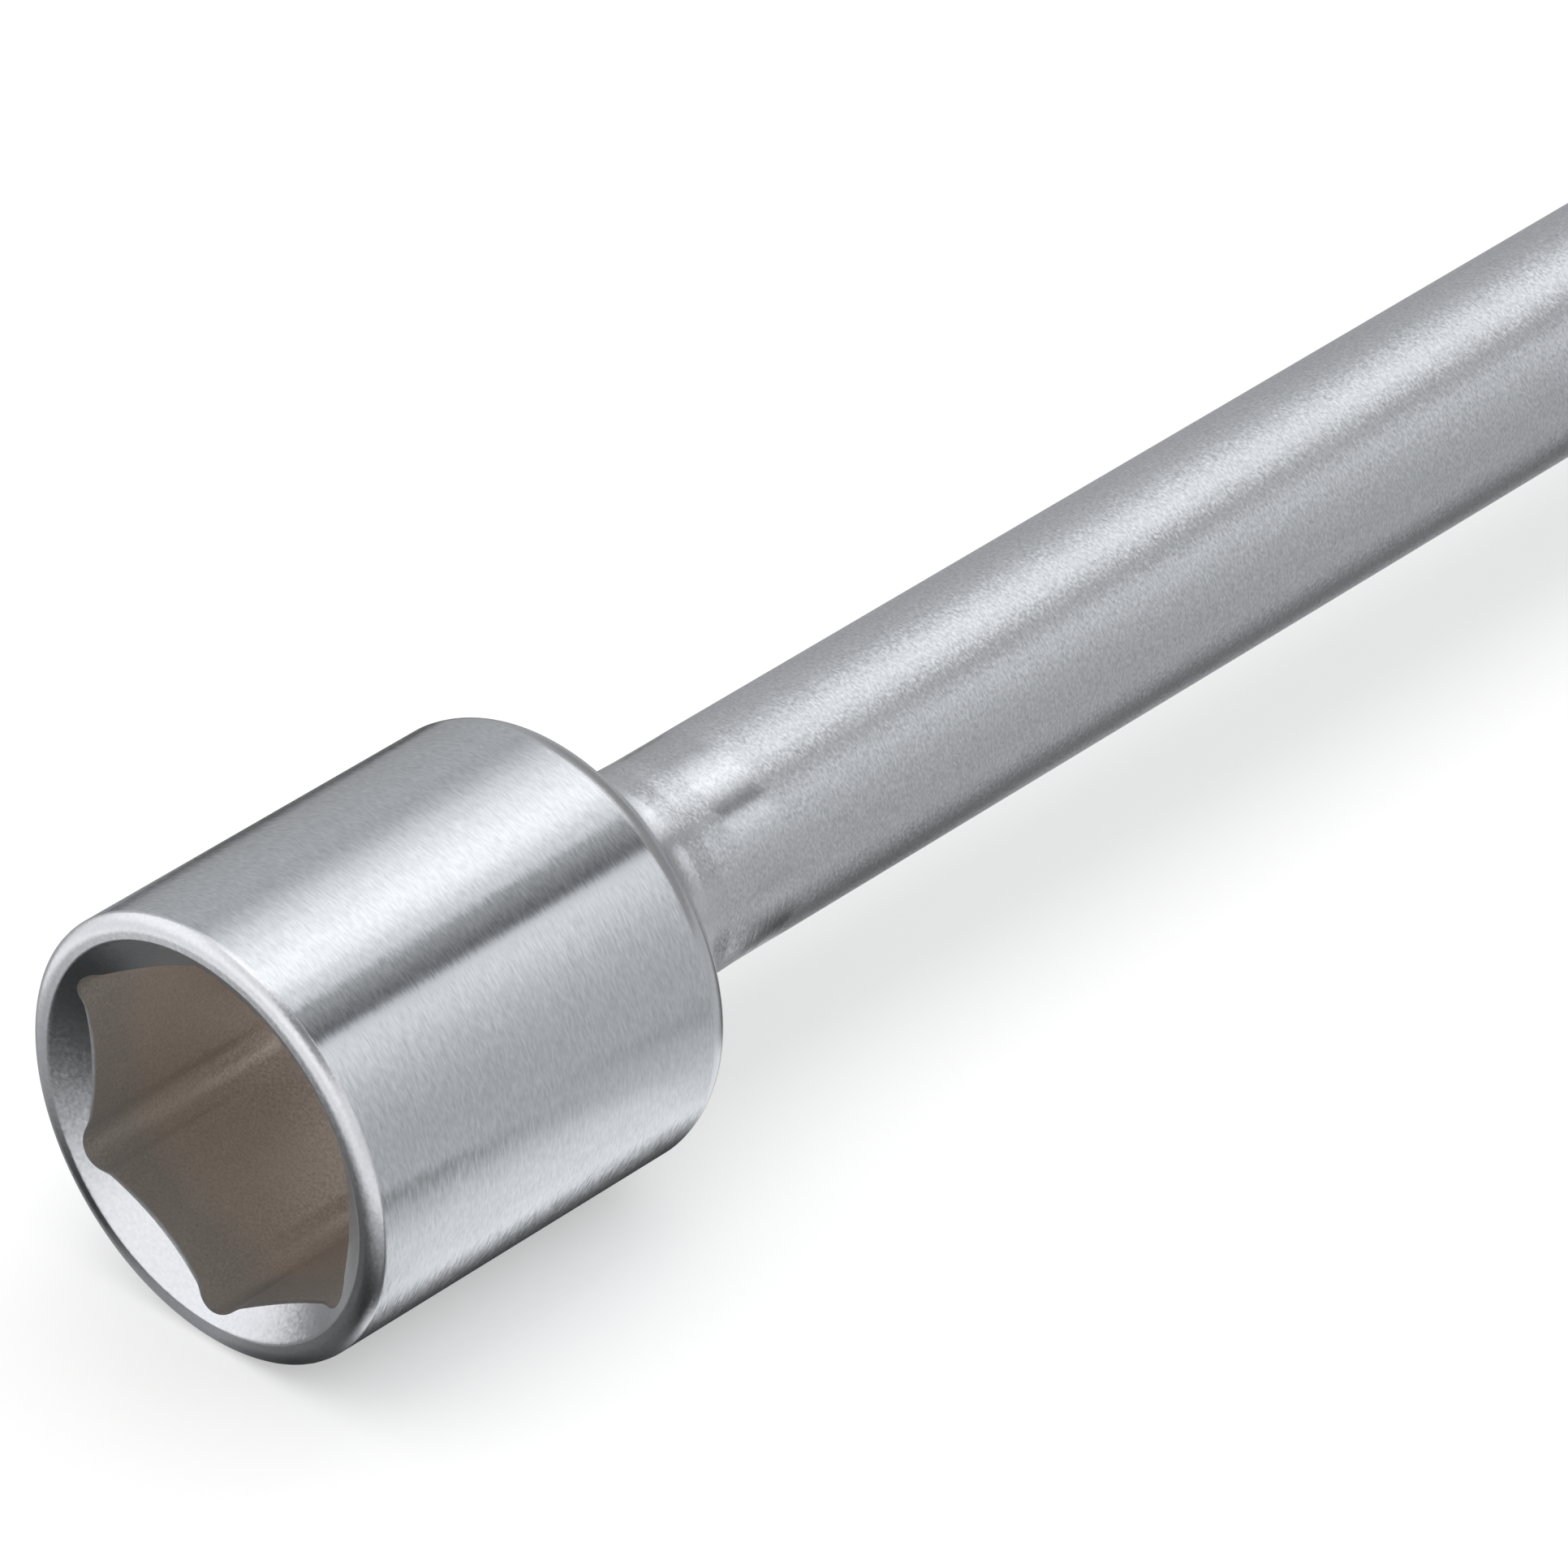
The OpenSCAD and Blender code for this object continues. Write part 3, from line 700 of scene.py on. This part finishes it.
def knob_piece(name, side):
    """Turned end knob with a domed end, one groove, a seat for the bar and a hole for its pin."""
    chamfer = KNOB_R / 8
    groove = KNOB_R / 11
    dome = KNOB_R / 2
    groove_at = KNOB_L - dome - 2 * groove
    foot_r, foot_l, edge_r = KNOB_FOOT_EDGE_R, KNOB_FOOT_EDGE_L, KNOB_EDGE_R
    groove_low, groove_high = groove_at - groove - edge_r, groove_at + groove + edge_r
    cap = arc(KNOB_R - dome, KNOB_L - dome, dome, dome, 0, 60, 12)
    profile = outline(
        [(HUB_R, 0)],
        straight((BAR_R + FIT_GAP, 0), (KNOB_R - chamfer - 2 * foot_l, 0), 2),
        arc(KNOB_R - chamfer - foot_l, foot_r, foot_r, foot_r, -90, -45, 4),
        straight((KNOB_R - chamfer + foot_l, foot_l), (KNOB_R - foot_l, chamfer - foot_l), 2),
        arc(KNOB_R - foot_r, chamfer + foot_l, foot_r, foot_r, -45, 0, 4),
        straight((KNOB_R, chamfer + 1.5 * foot_l), (KNOB_R, groove_low), 12),
        arc(KNOB_R - edge_r, groove_low, edge_r, edge_r, 0, 70, 4),
        arc(KNOB_R + KNOB_GROOVE_OUT, groove_at, -groove, -groove, 80, -80, 16),
        arc(KNOB_R - edge_r, groove_high, edge_r, edge_r, -70, 0, 4),
        straight((KNOB_R, groove_high), (KNOB_R, KNOB_L - dome), 2),
        cap,
        straight(cap[-1], (HUB_R, KNOB_L - KNOB_CROWN_L), 8),
    )

    def place(points):
        p = np.asarray(points)[:, [1, 0, 2]] + (KNOB_FACE, BAR_Y, AXIS_Z)
        return p * (side, 1, 1) * MM

    rings = rings_about("y", profile, circle_angles(KNOB_POINTS))
    obj = loft(name, rings, place, (0, 0, 0), (0, KNOB_L, 0))
    seat = spindle("seat", [(BAR_R + FIT_GAP, -CUT_PAST), (BAR_R + FIT_GAP, KNOB_SEAT_L)], (side, 0, 0),
                   (side * KNOB_FACE, BAR_Y, AXIS_Z), 128)
    pin_x = side * (KNOB_FACE + KNOB_SEAT_L / 2)
    chamfer_r = KNOB_PIN_R + PIN_CHAMFER_W
    half_pin = [(KNOB_PIN_R, KNOB_R - PIN_CHAMFER_L), (chamfer_r, KNOB_R - PIN_CHAMFER_OUT),
                (chamfer_r + CUT_PAST, KNOB_R + CUT_PAST)]
    cut(obj, seat, spindle("pin", mirrored(half_pin), (0, 0, 1), (pin_x, BAR_Y, AXIS_Z), 64))
    return smooth(obj, 30)


def ring_piece(name, side):
    """Moulded rubber ring with its fine parting line."""
    around, section = circle_angles(160), circle_angles(40)
    n, m = len(around), len(section)
    middle = BAR_R + FIT_GAP + BUFFER_R
    on_line = np.abs(np.sin(section)) < PARTING_SHARE
    section_r = BUFFER_R - PARTING_H + np.where(on_line, PARTING_H, 0.0)
    rings = []
    for d, a in zip(section_r, section):
        r = middle + d * math.cos(a)
        rings.append(np.c_[np.full(n, d * math.sin(a)), r * np.cos(around), r * np.sin(around)])
    here, beside = np.arange(n), (np.arange(n) + 1) % n
    faces = []
    for k in range(m):
        below, above = k * n, (k + 1) % m * n
        faces += np.c_[below + here, above + here, above + beside, below + beside].tolist()
    points = np.concatenate(rings) + (side * (KNOB_FACE - BUFFER_R), 0, 0)
    obj = mesh_object(name, place_on_bar(points), faces)
    return smooth(obj, 50)


# Materials


def material(name):
    m = bpy.data.materials.new(name)
    m.use_nodes = True
    m.node_tree.nodes.clear()
    return m


def shade(tone, by):
    """A colour tuple made darker."""
    return tuple(by * c for c in tone)


def grey(level):
    return (level, level, level)


def along(axis, fine, coarse):
    """Texture scales that are fine along the axis and coarse round it."""
    return tuple(fine if name == axis else coarse for name in "xyz")


class Graph:
    """Short calls to build a material's nodes."""

    def __init__(self, holder, output="ShaderNodeOutputMaterial"):
        self.tree = holder.node_tree
        self.out = self.add(output)

    def add(self, kind, **values):
        node = self.tree.nodes.new(kind)
        for key, value in values.items():
            setattr(node, key, value)
        return node

    def link(self, source, target):
        self.tree.links.new(source, target)

    def put(self, value, target):
        """Gives an input a number, a colour tuple or another node's output."""
        if isinstance(value, (int, float)):
            target.default_value = value
        elif isinstance(value, tuple):
            target.default_value = (*value, 1)
        else:
            self.link(value, target)

    def coords(self, scale, turn):
        place = self.add("ShaderNodeTexCoord")
        mapping = self.add("ShaderNodeMapping")
        mapping.inputs["Scale"].default_value = scale
        mapping.inputs["Rotation"].default_value = turn
        self.link(place.outputs["Object"], mapping.inputs["Vector"])
        return mapping.outputs["Vector"]

    def noise(self, scale, detail=2.0, rough=0.5, turn=(0, 0, 0)):
        """Noise with so many waves to the metre, one number or one for each axis."""
        node = self.add("ShaderNodeTexNoise")
        node.inputs["Scale"].default_value = 1.0
        node.inputs["Detail"].default_value = detail
        node.inputs["Roughness"].default_value = rough
        scale = scale if isinstance(scale, tuple) else (scale, scale, scale)
        self.link(self.coords(scale, turn), node.inputs["Vector"])
        return node.outputs["Fac"]

    def parts(self, vector):
        """The X, Y and Z of a vector."""
        node = self.add("ShaderNodeSeparateXYZ")
        self.link(vector, node.inputs["Vector"])
        return node.outputs["X"], node.outputs["Y"], node.outputs["Z"]

    def math(self, operation, a, b=None):
        node = self.add("ShaderNodeMath", operation=operation)
        self.put(a, node.inputs[0])
        if b is not None:
            self.put(b, node.inputs[1])
        return node.outputs[0]

    def product(self, a, b):
        return self.math("MULTIPLY", a, b)

    def spread(self, value, to, of=(0.3, 0.7)):
        """Brings a value from the limits `of`, where most of a noise lies, to the limits `to`."""
        node = self.add("ShaderNodeMapRange")
        for key, number in zip(("From Min", "From Max", "To Min", "To Max"), (*of, *to)):
            node.inputs[key].default_value = number
        self.link(value, node.inputs["Value"])
        return node.outputs["Result"]

    def rise(self, value, start, full):
        """0 up to the start, 1 from full on, straight between."""
        return self.spread(value, (0.0, 1.0), (start, full))

    def fall(self, value, start, end):
        """1 up to the start, 0 from the end on, straight between."""
        return self.spread(value, (1.0, 0.0), (start, end))

    def within(self, value, start, full, fade, end):
        """1 from full to fade, 0 before the start and after the end."""
        return self.product(self.rise(value, start, full), self.fall(value, fade, end))

    def blend(self, share, a, b):
        """Mix of two colours (tuples or sockets) by a share."""
        node = self.add("ShaderNodeMix", data_type="RGBA")
        colour_a, colour_b, result = node.inputs[6], node.inputs[7], node.outputs[2]
        self.link(share, node.inputs["Factor"])
        self.put(a, colour_a)
        self.put(b, colour_b)
        return result

    def mix(self, share, a, b):
        """Mix of two numbers by a share."""
        node = self.add("ShaderNodeMix", data_type="FLOAT")
        self.link(share, node.inputs["Factor"])
        self.put(a, node.inputs[2])
        self.put(b, node.inputs[3])
        return node.outputs[0]

    def choose(self, share, a, b):
        """The first shader where the share is 0, the second where it is 1."""
        node = self.add("ShaderNodeMixShader")
        self.link(share, node.inputs["Fac"])
        self.link(a, node.inputs[1])
        self.link(b, node.inputs[2])
        return node.outputs[0]

    def bump(self, height, distance):
        node = self.add("ShaderNodeBump")
        node.inputs["Distance"].default_value = distance
        node.inputs["Strength"].default_value = 1.0
        self.link(height, node.inputs["Height"])
        return node.outputs["Normal"]

    def centred(self, value, amount):
        """A texture's share brought to about -amount to amount."""
        return self.product(self.math("SUBTRACT", value, 0.5), 2 * amount)

    def vector(self, operation, a, b=None, scale=None):
        node = self.add("ShaderNodeVectorMath", operation=operation)
        self.link(a, node.inputs[0])
        if b is not None:
            self.link(b, node.inputs[1])
        if scale is not None:
            self.link(scale, node.inputs["Scale"])
        return node.outputs["Vector"]

    def leaned(self, axis, round_it, along_it):
        """The surface's normal leaned round the axis and along it, by small angles in radians."""
        normal = self.add("ShaderNodeNewGeometry").outputs["Normal"]
        tangent = self.tangent(axis)
        lengthwise = self.vector("CROSS_PRODUCT", normal, tangent)
        total = self.vector("ADD", normal, self.vector("SCALE", tangent, scale=round_it))
        total = self.vector("ADD", total, self.vector("SCALE", lengthwise, scale=along_it))
        return self.vector("NORMALIZE", total)

    def tangent(self, axis):
        return self.add("ShaderNodeTangent", direction_type="RADIAL", axis=axis.upper()).outputs["Tangent"]

    def surface(self, colour, roughness, normal, metallic=1.0):
        """The shader of the whole surface."""
        shader = self.add("ShaderNodeBsdfPrincipled")
        shader.inputs["Metallic"].default_value = metallic
        for key, source in (("Base Color", colour), ("Roughness", roughness), ("Normal", normal)):
            self.link(source, shader.inputs[key])
        self.link(shader.outputs["BSDF"], self.out.inputs["Surface"])
        return shader


def brushed_chrome(name, axis):
    """Satin chrome brushed round its circumference: short fine strokes, soft along the axis."""
    m = material(name)
    g = Graph(m)
    strokes = g.noise(along(axis, 6800, 2000), detail=1.5, turn=(0.03, 0, 0.02))
    hairs = g.noise(along(axis, 9000, 950), detail=1, turn=(-0.04, 0, -0.03))
    clouds = g.noise(130)
    colour = g.blend(g.rise(strokes, 0.25, 0.75), shade(BRUSHED_TONE, 0.78), BRUSHED_TONE)
    roughness = g.math("ADD", g.spread(clouds, to=(0.20, 0.23)), g.spread(strokes, to=(-0.02, 0.02)))
    round_it = g.math("ADD", g.centred(hairs, 0.024), g.centred(strokes, 0.014))
    shader = g.surface(colour, roughness, g.leaned(axis, round_it, g.centred(hairs, 0.16)))
    shader.inputs["Anisotropic"].default_value = 0.9
    shader.inputs["Anisotropic Rotation"].default_value = 0.25
    g.link(g.tangent(axis), shader.inputs["Tangent"])
    return m


def blasted_chrome(name, tone=BLASTED_TONE, grain=0.19, rough=(0.345, 0.385), pits=0.7, dressed=False):
    """Satin chrome, finely blasted; a dressed piece also has its ground band and its turned shoulder."""
    m = material(name)
    g = Graph(m)
    sand = g.noise(along("y", 6600, 4400), detail=1.5)
    other = g.noise(along("y", 6600, 4400), detail=1.5, turn=(0.9, 0.4, 0.2))
    dots = g.noise(along("y", 7600, 4200), detail=1, turn=(0.05, 0.1, 0.03))
    clouds = g.noise(90)
    colour = g.blend(g.rise(dots, 0.25, 0.75), shade(tone, pits), tone)
    roughness = g.spread(clouds, to=rough)
    round_it, along_it = g.centred(sand, grain), g.centred(other, grain)
    if dressed:
        ground = g.add("ShaderNodeAttribute", attribute_name="dressed").outputs["Fac"]
        strokes = g.noise(along("y", 6000, 500), rough=0.6)
        round_it = g.mix(ground, round_it, g.centred(strokes, GROUND_GRAIN_ROUND))
        along_it = g.mix(ground, along_it, g.centred(strokes, GROUND_GRAIN_ALONG))
        roughness = g.mix(ground, roughness, GROUND_ROUGH)
        turned = g.add("ShaderNodeAttribute", attribute_name="turned").outputs["Fac"]
        round_it = g.mix(turned, round_it, g.centred(sand, TURNED_GRAIN))
        along_it = g.mix(turned, along_it, g.centred(other, TURNED_GRAIN))
        roughness = g.mix(turned, roughness, TURNED_ROUGH)
        even = g.blend(g.rise(dots, 0.25, 0.75), shade(tone, TURNED_PITS), tone)
        colour = g.blend(turned, colour, even)
    g.surface(colour, roughness, g.leaned("y", round_it, along_it))
    return m


def bore_metal(name):
    """Dull steel inside the opening: grey where the plating reaches in, warmer behind and also lighter
    there, as painted light that makes up for the shade deeper in; with a sparkle.
    """
    m = material(name)
    g = Graph(m)
    sand = g.noise(6000, detail=1.5)
    other = g.noise(6000, detail=1.5, turn=(0.9, 0.4, 0.2))
    clouds = g.noise(160, detail=3)
    plated_end = (MOUTH_Y + PLATED_L) * MM
    y = g.parts(g.coords((1, 1, 1), turn=(0, 0, 0)))[1]
    deep = g.rise(g.math("ADD", y, g.centred(clouds, MM)), plated_end - MM, plated_end + MM)
    # Bare steel behind the plating: a warmer tone, made lighter as painted light against the shade deeper
    # inside
    bare_with_painted_light = g.blend(g.rise(clouds, 0.35, 0.65), (0.86, 0.80, 0.75), (0.89, 0.83, 0.78))
    even = g.blend(deep, (0.78, 0.774, 0.758), bare_with_painted_light)
    dots = g.noise(8000, detail=1, turn=(0.05, 0.1, 0.03))
    colour = g.vector("SCALE", even, scale=g.spread(dots, to=(0.86, 1.06), of=(0.25, 0.75)))
    roughness = g.spread(clouds, to=(0.37, 0.43))
    g.surface(colour, roughness, g.leaned("y", g.centred(sand, 0.14), g.centred(other, 0.14)))
    return m


def steel(name, tone, rough=0.35, height=4e-6):
    """Plain worked steel with fine turning marks, their height in metres, and small darker clouds."""
    m = material(name)
    g = Graph(m)
    fine = g.noise(8000)
    clouds = g.noise(700, detail=3)
    colour = g.blend(g.rise(clouds, 0.35, 0.65), shade(tone, 0.8), tone)
    roughness = g.spread(clouds, to=(rough - 0.05, rough + 0.08))
    g.surface(colour, roughness, g.bump(fine, height))
    return m


def rubber(name):
    """Matt moulded rubber with a faint bloom."""
    m = material(name)
    g = Graph(m)
    fine = g.noise(5000, detail=3)
    bloom = g.noise(500, detail=3)
    colour = g.blend(g.rise(bloom, 0.4, 0.7), (0.018, 0.018, 0.02), (0.035, 0.035, 0.037))
    g.surface(colour, g.spread(fine, to=(0.55, 0.75)), g.bump(fine, 1e-5), metallic=0.0)
    return m


# Stage, light and camera


def ramp(g, value, stops, low, high):
    """Grey level that runs straight between stops of (place, level), for a value from low to high."""
    node = g.add("ShaderNodeValToRGB")
    g.link(g.rise(value, low, high), node.inputs["Fac"])
    elements = node.color_ramp.elements
    while len(elements) > 1:
        elements.remove(elements[-1])
    for k, (place, level) in enumerate(stops):
        at = (place - low) / (high - low)
        element = elements[0] if k == 0 else elements.new(at)
        element.position = at
        element.color = (*(level * tint for tint in LIGHT_TINT), 1)
    return node.outputs["Color"]


def ray_kinds(g):
    """Two shares: 1 for rays that a glossy or clear surface sends out, and 1 for rays of the camera."""
    path = g.add("ShaderNodeLightPath")
    shiny = g.math("MAXIMUM", path.outputs["Is Glossy Ray"], path.outputs["Is Transmission Ray"])
    return shiny, path.outputs["Is Camera Ray"]


def background(g, colour):
    """World light of one colour or of another node's output."""
    node = g.add("ShaderNodeBackground")
    g.put(colour, node.inputs["Color"])
    return node.outputs[0]


def studio():
    """World light: white for the camera, plain for matt surfaces, soft strips of light for metal."""
    world = bpy.data.worlds.new("studio")
    bpy.context.scene.world = world
    world.use_nodes = True
    world.node_tree.nodes.clear()
    world.cycles.sampling_method = "NONE"
    g = Graph(world, "ShaderNodeOutputWorld")
    x, y, z = g.parts(g.add("ShaderNodeTexCoord").outputs["Generated"])
    turn = g.product(g.math("ARCTAN2", z, x), 180 / math.pi)
    behind = ramp(g, turn, STRIPS_BEHIND, -180, 180)
    before = ramp(g, turn, STRIPS_BEFORE, -180, 180)
    level = g.blend(g.rise(y, *BEHIND_MOUTH), before, behind)
    level = g.blend(g.rise(y, *STRAIGHT_IN_FRONT), level, grey(FRONT_LEVEL))
    level = g.blend(g.rise(y, *STRAIGHT_BEHIND), level, grey(BACK_LEVEL))
    shiny, camera = ray_kinds(g)
    lit = g.choose(shiny, background(g, grey(PLAIN_LEVEL)), background(g, level))
    g.link(g.choose(camera, lit, background(g, grey(1))), g.out.inputs["Surface"])


def table_light(g):
    """Level of the table's painted light at each place of the floor: its stretches along the shank and its
    patches of painted shade.
    """
    across, back, _ = g.parts(g.add("ShaderNodeNewGeometry").outputs["Position"])
    across = g.math("DIVIDE", across, MM)
    back = g.math("SUBTRACT", g.math("DIVIDE", back, MM), MOUTH_Y)
    by_socket, by_neck, by_shank = (ramp(g, across, stops, -TABLE_EDGE, TABLE_EDGE)
                                    for stops in (TABLE_BY_SOCKET, TABLE_BY_NECK, TABLE_BY_SHANK))
    away = g.math("SQRT", g.math("ADD", g.math("POWER", across, 2.0), g.math("POWER", back, 2.0)))
    before = ramp(g, away, TABLE_BEFORE, 0, TABLE_EDGE)
    # Painted shade on the table beside the lip, which the lip's edge reflects as a dark line
    beside = g.product(g.within(across, *SHADE_BY_LIP_ACROSS), g.fall(back, *SHADE_BY_LIP_FADES))
    by_socket = g.blend(beside, by_socket, grey(SHADE_BY_LIP_LEVEL))
    level = g.blend(g.rise(back, *SOCKET_STRETCH), before, by_socket)
    level = g.blend(g.rise(back, *NECK_STRETCH), level, by_neck)
    level = g.blend(g.rise(back, *SHANK_STRETCH), level, by_shank)
    # Painted shadow of the shank on the table under it
    under = g.product(g.within(across, *SHADOW_UNDER_ACROSS), g.spread(back, (SHADOW_UNDER_SHARE, 0.0), SHADOW_UNDER_FADES))
    level = g.blend(under, level, grey(0))
    # Painted shadow on the table beyond the socket's far side
    beyond = g.product(g.within(back, *SHADOW_BEYOND_BACK), g.fall(across, *SHADOW_BEYOND_FADES))
    return g.blend(beyond, level, ramp(g, across, TABLE_SHADOW_BEYOND, -TABLE_EDGE, 0))


def floor_material():
    """Pale floor: white to the camera, with the object's shadow on it; metal sees it glow with the table's
    painted light and shadows.
    """
    m = material("floor_paper")
    g = Graph(m)
    paper = g.add("ShaderNodeBsdfDiffuse")
    paper.inputs["Color"].default_value = FLOOR_TONE
    shiny, camera = ray_kinds(g)
    lift = g.add("ShaderNodeEmission")
    g.link(g.product(camera, FLOOR_LIFT), lift.inputs["Strength"])
    both = g.add("ShaderNodeAddShader")
    g.link(paper.outputs[0], both.inputs[0])
    g.link(lift.outputs[0], both.inputs[1])
    # The floor glows to metal only, with painted light and painted shadows in place of a lit table
    table = g.add("ShaderNodeEmission")
    g.link(table_light(g), table.inputs["Color"])
    g.link(g.choose(shiny, both.outputs[0], table.outputs[0]), g.out.inputs["Surface"])
    m.cycles.emission_sampling = "NONE"
    return m


def stage_floor():
    """A wide floor just below the object; it is no piece of the part."""
    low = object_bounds()[0]
    h, z = FLOOR_HALF, low[2] - FLOOR_GAP
    mesh = bpy.data.meshes.new("floor")
    mesh.from_pydata([(-h, -h, z), (h, -h, z), (h, h, z), (-h, h, z)], [], [(0, 1, 2, 3)])
    floor = scene_object("floor", mesh)
    mesh.materials.append(floor_material())


def lamp(name, place, target, size, level):
    """Soft rectangular lamp whose face shines at the given level; its sizes are in metres."""
    light = bpy.data.lights.new(name, "AREA")
    light.shape = "RECTANGLE"
    light.size, light.size_y = size
    light.energy = level * math.pi * size[0] * size[1]
    obj = scene_object(name, light)
    obj.location = place
    obj.rotation_euler = (Vector(target) - Vector(place)).to_track_quat("-Z", "Y").to_euler()


def photo_camera():
    """Camera at the place, angle and lens that the photograph was taken with."""
    az, el = math.radians(VIEW_AZIMUTH), math.radians(VIEW_ELEVATION)
    right = Vector((math.cos(az), math.sin(az), 0))
    forward = Vector((-math.sin(az) * math.cos(el), math.cos(az) * math.cos(el), -math.sin(el)))
    up = right.cross(forward)
    mouth = Vector((0, MOUTH_Y + LIP_L, AXIS_Z)) * MM
    distance = MOUTH_DISTANCE * MM
    off_x, off_y = ((px - PHOTO_SIZE / 2) / FOCAL_PX * distance for px in MOUTH_PX)
    data = bpy.data.cameras.new("photo_camera")
    data.sensor_width = 36
    data.lens = data.sensor_width * FOCAL_PX / PHOTO_SIZE
    data.clip_start, data.clip_end = 0.01, 20
    camera = scene_object("photo_camera", data)
    turn = Matrix((right, up, -forward)).transposed().to_4x4()
    camera.matrix_world = Matrix.Translation(mouth - right * off_x + up * off_y - forward * distance) @ turn
    bpy.context.scene.camera = camera


# The pieces with their materials


def dress(obj, node, body, slot, *materials):
    """Gives a piece its materials and its body, and hides the CAD node that it stands for; the record slot
    is not used.
    """
    for m in materials:
        obj.data.materials.append(m)
    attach(obj, body)
    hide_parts(node)


def finish_node(node, m):
    """A CAD node keeps its shape and gets a better material."""
    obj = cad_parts[node]
    obj.data.materials.clear()
    obj.data.materials.append(m)


photo_camera()
blasted = blasted_chrome("blasted_chrome", dressed=True)
brushed = brushed_chrome("brushed_chrome", "y")
cone = blasted_chrome("cone_chrome", tone=(0.86, 0.867, 0.893), grain=0.06, rough=(0.27, 0.31), pits=0.9)
dress(socket_piece(), "socket", "wrench", "socket_chrome", blasted, brushed, cone, bore_metal("bore_metal"))
dress(shank_piece(), "shank", "wrench", "shank_chrome", blasted)
dress(head_piece(), "t_head", "wrench", "head_chrome", blasted_chrome("head_chrome"))
dress(bar_piece(), "sliding_bar", "bar", "bar_chrome", brushed_chrome("bar_chrome", "x"))
knob_chrome = brushed_chrome("knob_chrome", "x")
ring_rubber = rubber("ring_rubber")
for side, word in ((-1, "left"), (1, "right")):
    dress(knob_piece("end_knob_" + word, side), "knob_" + word, "bar", "knob_chrome", knob_chrome)
    dress(ring_piece("rubber_ring_" + word, side), "buffer_ring_" + word, "bar", "ring_rubber", ring_rubber)
pin_steel = steel("pin_steel", (0.36, 0.36, 0.38))
for node in ("head_pin", "knob_pin_left", "knob_pin_right"):
    finish_node(node, pin_steel)
finish_node("detent_screw", steel("screw_steel", (0.16, 0.16, 0.17), rough=0.42))
spring = spring_piece()
spring_steel = steel("spring_steel", (0.45, 0.45, 0.47), rough=0.3)
dress(spring, "detent_spring", "wrench", "spring_steel", spring_steel)
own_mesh(spring)
finish_node("detent_ball", steel("ball_steel", (0.80, 0.80, 0.82), rough=0.12, height=5e-7))
stage_floor()
studio()
lamp("overhead_box", place=(-0.08, 0.35, 0.85), target=(-0.08, 0.35, 0), size=(0.6, 2.2), level=0.5)
bpy.context.scene.view_settings.view_transform = "Standard"
